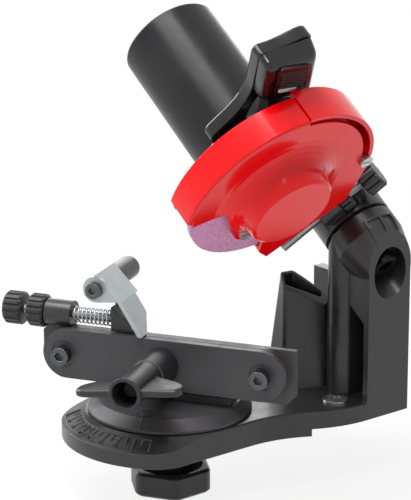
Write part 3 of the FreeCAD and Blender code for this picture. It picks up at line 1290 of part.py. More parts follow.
def stop_lock_nut():
    knob = ribbed_knob(STOP_KNOB_R, STOP_LOCK_L, LOCK_END_S - STOP_LOCK_L)
    return knob.cut(rod(STOP_ROD_R + RUN_FIT, 4 * STOP_LOCK_L, stop_rod_at(LOCK_END_S - 2 * STOP_LOCK_L),
                        STOP_AXIS))


def stop_rod():
    start = KNOB_END_S - STOP_KNOB_L / 2 + JOIN_GAP
    return rod(STOP_ROD_R, CARRIAGE_S - CARRIAGE_L / 2 + ROD_SINK - start, stop_rod_at(start), STOP_AXIS)


def stop_spring():
    start = BOSS_END_S + STOP_SPRING_WIRE
    length = CARRIAGE_S - CARRIAGE_L / 2 - STOP_SPRING_WIRE - start
    coil, gap = helix_tube(STOP_SPRING_R, STOP_SPRING_WIRE, STOP_SPRING_TURNS, length / STOP_SPRING_TURNS)
    print("stop spring least gap", round(gap, 2))
    coil.rotate(V(0, 0, 0), V(0, 1, 0), 90)
    coil.translate(stop_rod_at(start))
    return coil


def stop_carriage():
    """Sliding foot on the rails with a web up to the pawl's pivot barrel."""
    left, right = CARRIAGE_S - CARRIAGE_L / 2, CARRIAGE_S + CARRIAGE_L / 2
    foot = prism([front(left, CARRIAGE_FRONT_N, FOOT_Z), front(right, CARRIAGE_FRONT_N, FOOT_Z),
                  front(right, CARRIAGE_FRONT_N, FOOT_Z + 5),
                  front(left, CARRIAGE_FRONT_N, STOP_ROD_Z + STOP_BOSS_R)],
                 V(0, CARRIAGE_FRONT_N - WEB_BACK_N, 0))
    web = prism([front(left, WEB_FRONT_N, FOOT_Z), front(right, WEB_FRONT_N, FOOT_Z),
                 front(right, WEB_FRONT_N, FOOT_Z + 5),
                 front(PIVOT_S + JOURNAL_R, WEB_FRONT_N, PIVOT_Z + 1),
                 front(PIVOT_S - BARREL_R, WEB_FRONT_N, PIVOT_Z)],
                V(0, WEB_FRONT_N - WEB_BACK_N, 0))
    barrel = bar(BARREL_R, WEB_FRONT_N, BARREL_BACK_N, PIVOT_S, PIVOT_Z)
    journal = bar(JOURNAL_R, PAWL_FRONT_N - PAWL_T - FACE_GAP, WEB_BACK_N, PIVOT_S, PIVOT_Z)
    solid = joined([foot, web, barrel, journal])
    return solid.cut([rod(STOP_ROD_R + RUN_FIT, ROD_SINK + 1 + RUN_FIT, stop_rod_at(left - 1), STOP_AXIS),
                      bar(PIVOT_R + SEAT_FIT, 2 * PAWL_FRONT_N, WEB_FRONT_N, PIVOT_S, PIVOT_Z)])


def pawl_screw():
    head = bar(PIVOT_HEAD_R, PAWL_FRONT_N + FACE_GAP, PAWL_FRONT_N + FACE_GAP + PIVOT_HEAD_L, PIVOT_S,
               PIVOT_Z)
    shank = bar(PIVOT_R, PAWL_FRONT_N + FACE_GAP + PIVOT_HEAD_L / 2, WEB_FRONT_N + 1, PIVOT_S, PIVOT_Z)
    socket = hexagon(PIVOT_HEAD_R, 0, PIVOT_HEAD_L)
    socket.rotate(V(0, 0, 0), V(1, 0, 0), 90)
    socket.translate(front(PIVOT_S, PAWL_FRONT_N + FACE_GAP + PIVOT_HEAD_L / 2, PIVOT_Z))
    return joined([head, shank]).cut(socket)


def stop_pawl():
    """Folded plate: an ear on the pivot, a sloping back and a narrow finger that drops between the rails."""
    strips = []
    for near, far in ((PAWL_TOP, PAWL_BEND), (PAWL_BEND, PAWL_TIP)):
        along = V(far[0] - near[0], 0, far[1] - near[1])
        inward = V(along.z, 0, -along.x).normalize() * PAWL_T
        a, b = V(near[0], 0, near[1]), V(far[0], 0, far[1])
        strip = prism([a, b, b + inward, a + inward], V(0, PAWL_FRONT_N - PAWL_BACK_N, 0))
        strip.translate(front(0, PAWL_FRONT_N, 0))
        strips.append(strip)
    bend_low = V(PAWL_BEND[0], 0, PAWL_BEND[1])
    ear_plan = [V(PAWL_TOP[0], 0, PAWL_TOP[1]), bend_low, V(PIVOT_S, 0, PIVOT_Z - EAR_R),
                V(PIVOT_S - EAR_R, 0, PIVOT_Z)]
    ear = prism([corner + front(0, PAWL_FRONT_N, 0) for corner in ear_plan], V(0, PAWL_T, 0))
    ear = joined([ear, bar(EAR_R, PAWL_FRONT_N, PAWL_FRONT_N - PAWL_T, PIVOT_S, PIVOT_Z)])
    finger_n = REAR_FACE_N + FINGER_GAP
    tip_z = RAIL_TOP_Z + PAWL_LIFT
    beside = [(PAWL_FRONT_N + 1, tip_z), (finger_n + FINGER_W, tip_z), (finger_n + FINGER_W, RAIL_LOW_Z),
              (PAWL_FRONT_N + 1, RAIL_LOW_Z)]
    behind = [(PAWL_BACK_N - 1, PAWL_BEND[1]), (PAWL_BACK_N + PAWL_STEP, PAWL_BEND[1]),
              (PAWL_BACK_N + PAWL_STEP, tip_z + PAWL_CORNER), (finger_n, tip_z), (finger_n, RAIL_LOW_Z),
              (PAWL_BACK_N - 1, RAIL_LOW_Z)]
    trims = [prism([front(0, n, z) for n, z in outline], V(2 * PIVOT_S, 0, 0)) for outline in (beside,
                                                                                               behind)]
    finger = strips[1].cut(trims)
    return joined([strips[0], finger, ear]).cut(bar(PIVOT_R + RUN_FIT, 2 * PAWL_FRONT_N, -PAWL_FRONT_N,
                                                    PIVOT_S, PIVOT_Z))


# Swivel lock under the base
KNOB_LOW_Z = KNOB_TOP_Z - KNOB_H
WASHER_Z = -FRONT_DROP - JOIN_GAP - SWIVEL_WASHER_T


def swivel_washer():
    return ring(KNOB_NECK_R + 2, SWIVEL_BOLT_R + LOOSE_FIT, SWIVEL_WASHER_T, V(0, 0, WASHER_Z))


def swivel_knob():
    corner = KNOB_FLAT / math.sqrt(3)
    head = pad([polar(corner, 60 * k + VISE_ANGLE, KNOB_LOW_Z) for k in range(6)], KNOB_ROUND,
               V(0, 0, KNOB_H))
    rims = [edge for edge in head.Edges if edge.BoundBox.ZLength < 1e-6]
    head = head.makeChamfer(KNOB_EDGE, rims)
    hollow = ring(KNOB_FLAT / 2 - KNOB_WALL, KNOB_NECK_R, KNOB_H, V(0, 0, KNOB_TOP_Z - KNOB_HOLLOW))
    neck_body = rod(KNOB_NECK_R, WASHER_Z - FACE_GAP - KNOB_TOP_Z + 1, V(0, 0, KNOB_TOP_Z - 1))
    bore = rod(SWIVEL_BOLT_R + RUN_FIT, 2 * KNOB_H - 2 * KNOB_TOP_Z,
               V(0, 0, KNOB_LOW_Z + KNOB_COVER - RUN_FIT))
    return joined([head.cut(hollow), neck_body]).cut(bore)


BASE_PIECES = (base_casting, bench_eyelets, swivel_washer, swivel_knob)
VISE_PIECES = (turntable, swivel_bolt, rear_rail, front_rail, jaw_guide_screws, clamp_bolt, wing_nut,
               stop_block,
               stop_adjuster_knob, stop_lock_nut, stop_rod, stop_spring, stop_carriage, pawl_screw, stop_pawl)
HEAD_PIECES = (hinge_bolt, hinge_bush, hinge_washer, hinge_nut, hinge_spring, head_arm, wheel_cover,
               wheel_housing,
               cover_screws, guard_screws, grinding_wheel, wheel_rear_flange, wheel_front_flange, wheel_nut,
               motor_tube, motor_end_cap, field_magnets, armature_core, armature_windings, commutator,
               motor_shaft,
               cooling_fan, bearing_outer_rings, bearing_inner_rings, bearing_balls, brush_holder,
               carbon_brushes,
               handle_front, handle_rear, handle_screws, switch_paddle, switch_body,
               depth_rod, depth_knob, depth_lock_nut)


def main():
    os.makedirs("parts", exist_ok=True)
    for pieces, frame in ((BASE_PIECES, None), (VISE_PIECES, VISE_FRAME), (HEAD_PIECES, HEAD_FRAME)):
        for piece in pieces:
            export(piece.__name__, piece(), frame)


main()
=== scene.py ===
"""Looks of a bench saw-chain grinder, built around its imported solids."""

import json
import logging
import math
from collections.abc import Callable
from dataclasses import dataclass, field
from enum import Enum
from typing import ClassVar

import bmesh
import bpy
from mathutils import Matrix, Vector

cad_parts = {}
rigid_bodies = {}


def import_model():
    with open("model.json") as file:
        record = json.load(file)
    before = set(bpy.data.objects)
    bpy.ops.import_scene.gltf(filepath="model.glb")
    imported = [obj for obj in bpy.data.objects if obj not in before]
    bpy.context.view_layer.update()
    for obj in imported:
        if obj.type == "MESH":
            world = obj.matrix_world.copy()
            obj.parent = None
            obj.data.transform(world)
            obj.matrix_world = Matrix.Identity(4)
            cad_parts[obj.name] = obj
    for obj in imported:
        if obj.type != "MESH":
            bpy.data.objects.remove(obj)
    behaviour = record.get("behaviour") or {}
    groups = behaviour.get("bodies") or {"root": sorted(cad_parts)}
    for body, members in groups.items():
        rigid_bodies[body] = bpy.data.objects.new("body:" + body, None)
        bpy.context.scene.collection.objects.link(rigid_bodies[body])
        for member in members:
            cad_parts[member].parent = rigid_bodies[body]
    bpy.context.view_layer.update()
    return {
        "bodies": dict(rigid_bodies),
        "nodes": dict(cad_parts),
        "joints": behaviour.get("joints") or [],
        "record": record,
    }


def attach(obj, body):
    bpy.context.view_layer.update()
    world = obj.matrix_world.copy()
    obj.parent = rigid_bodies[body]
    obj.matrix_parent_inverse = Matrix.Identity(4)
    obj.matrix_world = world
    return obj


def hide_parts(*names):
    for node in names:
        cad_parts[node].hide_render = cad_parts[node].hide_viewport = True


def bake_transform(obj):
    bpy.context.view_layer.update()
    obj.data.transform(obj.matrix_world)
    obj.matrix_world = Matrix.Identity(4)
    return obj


LOG = logging.getLogger("chain_grinder")
MM = 0.001
Shape = tuple[list[Vector], list[tuple[int, ...]]]
# Smooth shading stops where two faces meet more sharply than this, in degrees
SHARP_ANGLE = 38
# Most of a side that one soft corner takes up
CORNER_SHARE = 0.45


class Light(Enum):
    """Where a studio lamp stands."""

    KEY = "key"
    FILL = "fill"
    TOP = "top"
    RIM = "rim"


def linear(code: str) -> tuple[float, float, float, float]:
    """Turn an sRGB hex colour into a linear one.

    Args:
        code: Six hex digits.

    Returns:
        Red, green, blue and an alpha of 1.
    """
    parts = [int(code[i:i + 2], 16) / 255 for i in (0, 2, 4)]
    red, green, blue = [c / 12.92 if c <= 0.04045 else ((c + 0.055) / 1.055) ** 2.4 for c in parts]
    return red, green, blue, 1.0


def per_metre(millimetres: float) -> float:
    """Texture scale at which one cell of a pattern has the given real size."""
    return 1 / (millimetres * MM)


def add(tree: bpy.types.NodeTree, kind: str, settings: dict | None = None,
        links: dict | None = None) -> bpy.types.Node:
    """Add one shader node.

    Args:
        tree: Node tree to add to.
        kind: Blender's name of the node type.
        settings: Values by input name or node attribute.
        links: Source sockets by input name or index.

    Returns:
        The new node.
    """
    made = tree.nodes.new(kind)
    for key, value in (settings or {}).items():
        if hasattr(made, key):
            setattr(made, key, value)
        else:
            made.inputs[key].default_value = value
    for key, source in (links or {}).items():
        tree.links.new(source, made.inputs[key])
    return made


@dataclass(frozen=True)
class Finish:
    """One surface finish. Sizes are in millimetres and colours are sRGB hex."""

    name: str
    colour: str
    roughness: float
    specular: float = 0.5
    edge: float = 0.4
    # Cosines of the bend between the flat and the rounded surface where the painted edge highlight begins and
    # where it is full
    RUB_START: ClassVar[float] = 0.99
    RUB_FULL: ClassVar[float] = 0.86

    def relief(self, tree: bpy.types.NodeTree, height: bpy.types.NodeSocket, strength: float,
               depth: float, shader: bpy.types.Node) -> bpy.types.Node:
        """Raise a pattern on the surface and let the light run round its sharp edges.

        Args:
            tree: The material's nodes.
            height: The pattern's height.
            strength: Share of the height that is used.
            depth: Height of the pattern, in millimetres.
            shader: The principled shader.

        Returns:
            The node that rounds the edges.
        """
        soft = add(tree, "ShaderNodeBevel", {"samples": 4, "Radius": self.edge * MM})
        bump = add(tree, "ShaderNodeBump", {"Strength": strength, "Distance": depth * MM},
                   {"Height": height, "Normal": soft.outputs["Normal"]})
        tree.links.new(bump.outputs["Normal"], shader.inputs["Normal"])
        return soft

    def rubbed(self, tree: bpy.types.NodeTree, soft: bpy.types.Node, share: float) -> bpy.types.Node:
        """A mask of the sharp edges, where a painted highlight goes.

        Args:
            tree: The material's nodes.
            soft: The node that rounds the edges.
            share: The mask's value on the sharpest edges.

        Returns:
            The node whose result is the mask.
        """
        flat = add(tree, "ShaderNodeNewGeometry")
        bend = add(tree, "ShaderNodeVectorMath", {"operation": "DOT_PRODUCT"},
                   {0: soft.outputs["Normal"], 1: flat.outputs["Normal"]})
        return add(tree, "ShaderNodeMapRange",
                   {"From Min": self.RUB_START, "From Max": self.RUB_FULL, "To Max": share},
                   {"Value": bend.outputs["Value"]})

    def surface(self, tree: bpy.types.NodeTree, place: bpy.types.NodeSocket, shader: bpy.types.Node) -> None:
        """Add this finish's pattern to its shader.

        Args:
            tree: The material's nodes.
            place: Object coordinates, in metres.
            shader: The principled shader.
        """

    def material(self) -> bpy.types.Material:
        """The material for this finish, made on first use."""
        known = bpy.data.materials.get(self.name)
        if known is not None:
            return known
        made = bpy.data.materials.new(self.name)
        made.use_nodes = True
        made.node_tree.nodes.clear()
        tree = made.node_tree
        where = add(tree, "ShaderNodeTexCoord")
        shader = add(tree, "ShaderNodeBsdfPrincipled",
                     {"Base Color": linear(self.colour), "Roughness": self.roughness,
                      "Specular IOR Level": self.specular})
        self.surface(tree, where.outputs["Object"], shader)
        add(tree, "ShaderNodeOutputMaterial", links={"Surface": shader.outputs["BSDF"]})
        made.diffuse_color = linear(self.colour)
        return made


@dataclass(frozen=True)
class MouldedPlastic(Finish):
    """Injection-moulded plastic: a fine sparked grain, with slow patches where the mould polished it."""

    grain: float = 0.7
    depth: float = 0.02
    patch: float = 18.0
    spread: float = 0.1
    coat: float = 0.0
    # Colour and share of a painted highlight on the sharp edges
    worn: str = "6a6a6c"
    wear: float = 0.2
    COAT_ROUGHNESS: ClassVar[float] = 0.06
    LEAST_ROUGHNESS: ClassVar[float] = 0.04
    PATCH_SPAN: ClassVar[tuple[float, float]] = (0.3, 0.7)
    PALE_GAIN: ClassVar[float] = 1.35
    PALE_LIFT: ClassVar[float] = 0.002
    GRAIN_SHARE: ClassVar[float] = 0.35

    def surface(self, tree: bpy.types.NodeTree, place: bpy.types.NodeSocket, shader: bpy.types.Node) -> None:
        """Grain as bump, patches as roughness and tone, and a painted highlight that makes the edges paler in
        patches.
        """
        shader.inputs["Coat Weight"].default_value = self.coat
        shader.inputs["Coat Roughness"].default_value = self.COAT_ROUGHNESS
        patches = add(tree, "ShaderNodeTexNoise",
                      {"Scale": per_metre(self.patch), "Detail": 4.0, "Roughness": 0.6}, {"Vector": place})
        rough = add(tree, "ShaderNodeMapRange",
                    {"From Min": self.PATCH_SPAN[0], "From Max": self.PATCH_SPAN[1],
                     "To Min": max(self.LEAST_ROUGHNESS, self.roughness - self.spread),
                     "To Max": self.roughness + self.spread}, {"Value": patches.outputs["Fac"]})
        tree.links.new(rough.outputs["Result"], shader.inputs["Roughness"])
        deep = linear(self.colour)
        pale = tuple(min(1.0, c * self.PALE_GAIN + self.PALE_LIFT) for c in deep[:3]) + (1.0,)
        tone = add(tree, "ShaderNodeMix", {"data_type": "RGBA"}, {"Factor": patches.outputs["Fac"]})
        tone.inputs[6].default_value = deep
        tone.inputs[7].default_value = pale
        grain = add(tree, "ShaderNodeTexNoise", {"Scale": per_metre(self.grain), "Detail": 3.0},
                    {"Vector": place})
        soft = self.relief(tree, grain.outputs["Fac"], self.GRAIN_SHARE, self.depth, shader)
        # The painted edge highlight, broken up by the patches
        broken = add(tree, "ShaderNodeMath", {"operation": "MULTIPLY"},
                     {0: self.rubbed(tree, soft, self.wear).outputs["Result"], 1: patches.outputs["Fac"]})
        skin = add(tree, "ShaderNodeMix", {"data_type": "RGBA"}, {"Factor": broken.outputs["Value"]})
        tree.links.new(tone.outputs[2], skin.inputs[6])
        skin.inputs[7].default_value = linear(self.worn)
        tree.links.new(skin.outputs[2], shader.inputs["Base Color"])


@dataclass(frozen=True)
class PlatedSteel(Finish):
    """Metal with a plated or oxidised skin: small crystals change its gloss, and slow patches its tint."""

    tint: str = "8f9499"
    crystal: float = 1.4
    depth: float = 0.01
    metal: float = 1.0
    # Share of a painted highlight on the sharp edges and bends
    burnish: float = 0.0
    LEAST_ROUGHNESS: ClassVar[float] = 0.05
    SMOOTHER: ClassVar[float] = 0.08
    ROUGHER: ClassVar[float] = 0.12
    CELL_REACH: ClassVar[float] = 0.8
    PATCH: ClassVar[float] = 9.0
    CRYSTAL_SHARE: ClassVar[float] = 0.2
    BRIGHT: ClassVar[str] = "f6f7f7"

    def surface(self, tree: bpy.types.NodeTree, place: bpy.types.NodeSocket, shader: bpy.types.Node) -> None:
        """Crystals as roughness and bump, patches as tint, and a painted highlight that makes the edges
        bright.
        """
        shader.inputs["Metallic"].default_value = self.metal
        cells = add(tree, "ShaderNodeTexVoronoi", {"Scale": per_metre(self.crystal)}, {"Vector": place})
        rough = add(tree, "ShaderNodeMapRange",
                    {"From Min": 0.0, "From Max": self.CELL_REACH,
                     "To Min": max(self.LEAST_ROUGHNESS, self.roughness - self.SMOOTHER),
                     "To Max": self.roughness + self.ROUGHER}, {"Value": cells.outputs["Distance"]})
        tree.links.new(rough.outputs["Result"], shader.inputs["Roughness"])
        patches = add(tree, "ShaderNodeTexNoise", {"Scale": per_metre(self.PATCH), "Detail": 3.0},
                      {"Vector": place})
        tone = add(tree, "ShaderNodeMix", {"data_type": "RGBA"}, {"Factor": patches.outputs["Fac"]})
        tone.inputs[6].default_value = linear(self.colour)
        tone.inputs[7].default_value = linear(self.tint)
        soft = self.relief(tree, cells.outputs["Distance"], self.CRYSTAL_SHARE, self.depth, shader)
        # The painted highlight on the edges and bends
        bright = add(tree, "ShaderNodeMix", {"data_type": "RGBA"},
                     {"Factor": self.rubbed(tree, soft, self.burnish).outputs["Result"]})
        tree.links.new(tone.outputs[2], bright.inputs[6])
        bright.inputs[7].default_value = linear(self.BRIGHT)
        tree.links.new(bright.outputs[2], shader.inputs["Base Color"])


@dataclass(frozen=True)
class BondedGrit(Finish):
    """Vitrified abrasive: pale and dark grains in a porous bond.

    The grains are drawn coarser than the real grit so that they show.
    """

    pale: str = "dcb0cd"
    dark: str = "a8749a"
    grit: float = 0.55
    GRAIN_SHARE: ClassVar[float] = 0.6
    GRAIN_DEPTH: ClassVar[float] = 0.15

    def surface(self, tree: bpy.types.NodeTree, place: bpy.types.NodeSocket, shader: bpy.types.Node) -> None:
        """Grains as colour and bump."""
        cells = add(tree, "ShaderNodeTexVoronoi", {"Scale": per_metre(self.grit)}, {"Vector": place})
        ramp = add(tree, "ShaderNodeValToRGB", links={"Fac": cells.outputs["Color"]})
        ramp.color_ramp.elements[0].color = linear(self.dark)
        ramp.color_ramp.elements[1].color = linear(self.pale)
        middle = ramp.color_ramp.elements.new(0.5)
        middle.color = linear(self.colour)
        tree.links.new(ramp.outputs["Color"], shader.inputs["Base Color"])
        self.relief(tree, cells.outputs["Distance"], self.GRAIN_SHARE, self.GRAIN_DEPTH, shader)


# Glass-filled nylon, spark-eroded mould: black with a soft, broken sheen and a pale painted highlight on its
# edges
BLACK_NYLON = MouldedPlastic("black_nylon_moulding", "222224", 0.32, 0.55, 0.7, grain=0.8, depth=0.03,
                             spread=0.1, worn="8a8a8c", wear=0.4)
# Glass-filled nylon from a coarser mould: charcoal, satin
SATIN_NYLON = MouldedPlastic("charcoal_nylon_satin", "38383a", 0.46, 0.5, 0.5, grain=0.7, depth=0.02)
# ABS from a polished mould: deep black with sharp highlights
BLACK_ABS = MouldedPlastic("black_abs_polished", "0c0c0e", 0.16, 0.35, 0.6, grain=1.2, depth=0.006,
                           spread=0.05, coat=0.3)
# Nylon knobs: black, satin
BLACK_KNOB = MouldedPlastic("black_nylon_knob", "1c1c1e", 0.38, 0.5, 0.4, grain=0.6, depth=0.02)
# Gloss ABS, self-coloured: bright red with clear studio reflections and a pink painted highlight on its edges
RED_ABS = MouldedPlastic("red_abs_gloss", "e60008", 0.16, 0.25, 0.5, grain=1.6, depth=0.004, patch=30.0,
                         spread=0.05, coat=0.14, worn="e0504c", wear=0.2)
# Stoved paint on rolled steel: black with a faint orange peel
BLACK_PAINT = MouldedPlastic("black_stoved_paint", "161618", 0.3, 0.28, 0.3, grain=2.2, depth=0.012,
                             patch=24.0, spread=0.08)
# Phosphated strip, oiled: charcoal and half dull
PHOSPHATE = MouldedPlastic("phosphated_strip", "3e3e40", 0.45, 0.45, 0.3, grain=0.5, depth=0.015, patch=14.0,
                           spread=0.1)
# Bright zinc plate: pale grey metal with fine crystals
ZINC_PLATE = PlatedSteel("bright_zinc_plate", "c9cccd", 0.28, tint="aeb4b8")
# Zinc on a cut thread: a little duller, with bright crests
THREAD_ZINC = PlatedSteel("zinc_plated_thread", "cdd1d2", 0.3, 0.5, 0.1, tint="acb2b5", crystal=0.9)
# Cold-rolled strip, pickled: mid grey with a soft shine and a near-white painted highlight on its bends
STRIP_STEEL = PlatedSteel("pickled_strip_steel", "bfc7c8", 0.36, 0.5, 0.7, tint="a6aeb1", crystal=1.1,
                          metal=0.45, burnish=0.9)
# Blued socket screws: grey metal that still shines, with a painted highlight round the edges of their heads
BLUED_STEEL = PlatedSteel("blued_screw_steel", "6a6d70", 0.32, 0.5, 0.3, tint="4e5154", crystal=0.9,
                          burnish=0.4)
# Black oxide on steel: dark, half dull
BLACK_OXIDE = PlatedSteel("black_oxide_steel", "2a2b2e", 0.36, tint="1c1d20")
# Turned steel: mid grey metal
TURNED_STEEL = PlatedSteel("turned_steel", "a9acae", 0.25, tint="96999c", crystal=0.8)
# Copper wire and bars: warm metal
COPPER = PlatedSteel("copper_wire", "c87345", 0.3, tint="a85a34", crystal=0.9)
# Sintered bronze: dull yellow metal with open pores
SINTERED_BRONZE = PlatedSteel("sintered_bronze", "a8834a", 0.42, tint="8d6d3e", crystal=0.5, depth=0.03)
# Sintered ferrite: near black and dull
FERRITE = MouldedPlastic("sintered_ferrite", "232326", 0.6, grain=0.4, depth=0.03)
# Phenolic: dark brown and plain
PHENOLIC = MouldedPlastic("brown_phenolic", "33261f", 0.5, grain=0.5, depth=0.01)
# White painted highlight on the switch's raised dash: dull
PRINT = MouldedPlastic("white_pad_print", "cfd0ce", 0.6, grain=0.4, depth=0.004)
# Vitrified corundum: mauve with a sandy sparkle
GRIT = BondedGrit("mauve_corundum", "d397c0", 0.9, 0.3, pale="e8bad9", dark="ba80ab")


def stack(sections: list[list[Vector]], capped: bool = True) -> Shape:
    """Join closed outlines, one after another, into a skin.

    Args:
        sections: Outlines with the same number of points, in metres.
        capped: Whether the first and last outlines are closed by a face. If not, they are joined to each
            other.

    Returns:
        Points and faces.
    """
    count = len(sections[0])
    points = [point for section in sections for point in section]
    faces = []
    for k in range(len(sections) - 1 if capped else len(sections)):
        near, far = k * count, (k + 1) % len(sections) * count
        for i in range(count):
            j = (i + 1) % count
            faces.append((near + i, near + j, far + j, far + i))
    if capped:
        faces.append(tuple(reversed(range(count))))
        faces.append(tuple(range(len(points) - count, len(points))))
    return points, faces


def joined(shapes: list[Shape]) -> Shape:
    """Put several skins into one.

    Args:
        shapes: Points and faces of each skin.

    Returns:
        Points and faces of them all.
    """
    points, faces = [], []
    for corners, sides in shapes:
        faces += [tuple(i + len(points) for i in side) for side in sides]
        points += corners
    return points, faces


def outline(corners: list[tuple[float, float]], radius: float, inset: float = 0.0,
            steps: int = 6) -> list[Vector]:
    """Points round a polygon with soft corners.

    Args:
        corners: Corners of the polygon, counter-clockwise.
        radius: Reach of each soft corner along its sides.
        inset: Distance that the polygon is drawn in.
        steps: Steps across one corner.

    Returns:
        Points in the polygon's plane.
    """
    plain = [Vector(corner) for corner in corners]
    drawn = []
    for k, corner in enumerate(plain):
        before = (corner - plain[k - 1]).normalized()
        after = (plain[(k + 1) % len(plain)] - corner).normalized()
        inward = Vector((-before.y - after.y, before.x + after.x))
        drawn.append(corner + inward * (inset / (1 + before.dot(after))))
    points = []
    for k, corner in enumerate(drawn):
        behind, ahead = drawn[k - 1] - corner, drawn[(k + 1) % len(drawn)] - corner
        start = corner + behind.normalized() * min(radius, behind.length * CORNER_SHARE)
        end = corner + ahead.normalized() * min(radius, ahead.length * CORNER_SHARE)
        for step in range(steps + 1):
            share = step / steps
            points.append(start * (1 - share) ** 2 + corner * 2 * share * (1 - share) + end * share ** 2)
    return points


@dataclass
class SubAssembly:
    """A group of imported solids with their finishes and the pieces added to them."""

    frame: dict
    finishes: dict[str, Finish] = field(default_factory=dict)
    THREAD_AROUND: ClassVar[int] = 24
    THREAD_ROWS: ClassVar[int] = 6
    # Depth of a thread as a share of its pitch
    THREAD_DEPTH: ClassVar[float] = 0.61
    FLUTE_POINTS: ClassVar[int] = 12
    KNOB_EASE: ClassVar[float] = 1.4
    KNOB_ARC: ClassVar[tuple[int, ...]] = (0, 18, 36, 54, 72, 90)
    # Radius of a knob's flat end as a share of its own
    KNOB_END: ClassVar[float] = 0.45

    def dress(self) -> None:
        """Give each solid its material."""
        for name, finish in self.finishes.items():
            solid = self.frame["nodes"][name]
            solid.data.materials.clear()
            solid.data.materials.append(finish.material())
            LOG.info("%s: %s", name, finish.name)

    def row(self, name: str) -> dict:
        """A joint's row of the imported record."""
        return next(row for row in self.frame["record"]["behaviour"]["joints"] if row["name"] == name)

    def joint(self, name: str) -> tuple[Vector, Vector]:
        """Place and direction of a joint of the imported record, in metres."""
        made = self.row(name)
        return Vector(made["pos_m"]), Vector(made["axis"]).normalized()

    def extent(self, node: str, start: Vector, along: Vector) -> tuple[float, float, float]:
        """How far a solid reaches along an axis and from it.

        Args:
            node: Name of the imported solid.
            start: A point of the axis.
            along: Direction of the axis.

        Returns:
            Its first and last place on the axis, and its greatest radius, in metres.
        """
        places = [vertex.co - start for vertex in self.frame["nodes"][node].data.vertices]
        rows = [place.dot(along) for place in places]
        return min(rows), max(rows), max((place - along * row).length for place, row in zip(places, rows))

    def turned(self, start: Vector, along: Vector,
               rows: list[tuple[float, list[float]]]) -> list[list[Vector]]:
        """Outlines round an axis.

        Args:
            start: A point of the axis.
            along: Direction of the axis.
            rows: Places on the axis, each with its radii at even angles.

        Returns:
            One outline for each row.
        """
        side = along.orthogonal().normalized()
        across = along.cross(side)
        sections = []
        for place, radii in rows:
            turns = [2 * math.pi * k / len(radii) for k in range(len(radii))]
            sections.append([
                start + along * place + (side * math.cos(turn) + across * math.sin(turn)) * radius
                for turn, radius in zip(turns, radii)])
        return sections

    def add_piece(self, name: str, shape: Shape, body: str, finish: Finish,
                  stands_for: tuple[str, ...] = ()) -> bpy.types.Object:
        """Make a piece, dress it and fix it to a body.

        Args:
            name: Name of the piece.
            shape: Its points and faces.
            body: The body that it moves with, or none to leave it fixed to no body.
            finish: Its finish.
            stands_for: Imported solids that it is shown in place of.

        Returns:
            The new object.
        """
        mesh = bpy.data.meshes.new(name)
        mesh.from_pydata(shape[0], [], shape[1])
        mesh.validate()
        repair = bmesh.new()
        repair.from_mesh(mesh)
        bmesh.ops.recalc_face_normals(repair, faces=repair.faces)
        repair.to_mesh(mesh)
        repair.free()
        mesh.shade_smooth()
        mesh.set_sharp_from_angle(angle=math.radians(SHARP_ANGLE))
        mesh.materials.append(finish.material())
        made = bpy.data.objects.new(name, mesh)
        bpy.context.scene.collection.objects.link(made)
        if body:
            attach(made, body)
        if stands_for:
            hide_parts(*stands_for)
        LOG.info("%s: %s on %s", name, finish.name, body or "two bodies")
        return made

    def threaded(self, name: str, node: str, joint: str, body: str, pitch: float) -> bpy.types.Object:
        """Show a plain rod with its real thread.

        Args:
            name: Name of the new piece.
            node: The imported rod.
            joint: The joint whose axis the rod lies on.
            body: The body that it moves with.
            pitch: Pitch of the thread, in millimetres.

        Returns:
            The new object.
        """
        start, along = self.joint(joint)
        low, high, radius = self.extent(node, start, along)
        around, per_turn = self.THREAD_AROUND, self.THREAD_ROWS
        step = pitch * MM / per_turn
        rows = []
        for k in range(int((high - low) / step) + 1):
            lead = [abs((k / per_turn - i / around) % 1 * 2 - 1) for i in range(around)]
            rows.append((low + k * step, [radius - self.THREAD_DEPTH * pitch * MM * flank for flank in lead]))
        made = self.add_piece(name, stack(self.turned(start, along, rows)), body, THREAD_ZINC, (node,))
        return made

    def fluted(self, name: str, node: str, joint: str, body: str, flutes: int,
               depth: float) -> bpy.types.Object:
        """Show a knob with deep rounded flutes and softened ends.

        Args:
            name: Name of the new piece.
            node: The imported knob.
            joint: The joint whose axis the knob turns on.
            body: The body that it moves with.
            flutes: Number of flutes.
            depth: Depth of a flute, in millimetres.

        Returns:
            The new object.
        """
        start, along = self.joint(joint)
        low, high, radius = self.extent(node, start, along)
        ease = self.KNOB_EASE * MM
        around = flutes * self.FLUTE_POINTS
        wave = [math.sqrt(abs(math.sin(math.pi * flutes * i / around))) for i in range(around)]
        turns = [math.radians(degrees) for degrees in self.KNOB_ARC]
        ends = [(ease * (1 - math.cos(turn)), ease * (1 - math.sin(turn))) for turn in turns]
        steps = [(low + along_by, draw) for along_by, draw in ends]
        steps += [(high - along_by, draw) for along_by, draw in reversed(ends)]
        rows = [(low, [radius * self.KNOB_END] * around)]
        rows += [(place, [radius - draw - depth * MM * (1 - lobe) for lobe in wave]) for place, draw in steps]
        rows.append((high, [radius * self.KNOB_END] * around))
        made = self.add_piece(name, stack(self.turned(start, along, rows)), body, BLACK_KNOB, (node,))
        return made

    def build(self) -> None:
        """Add this sub-assembly's own pieces."""


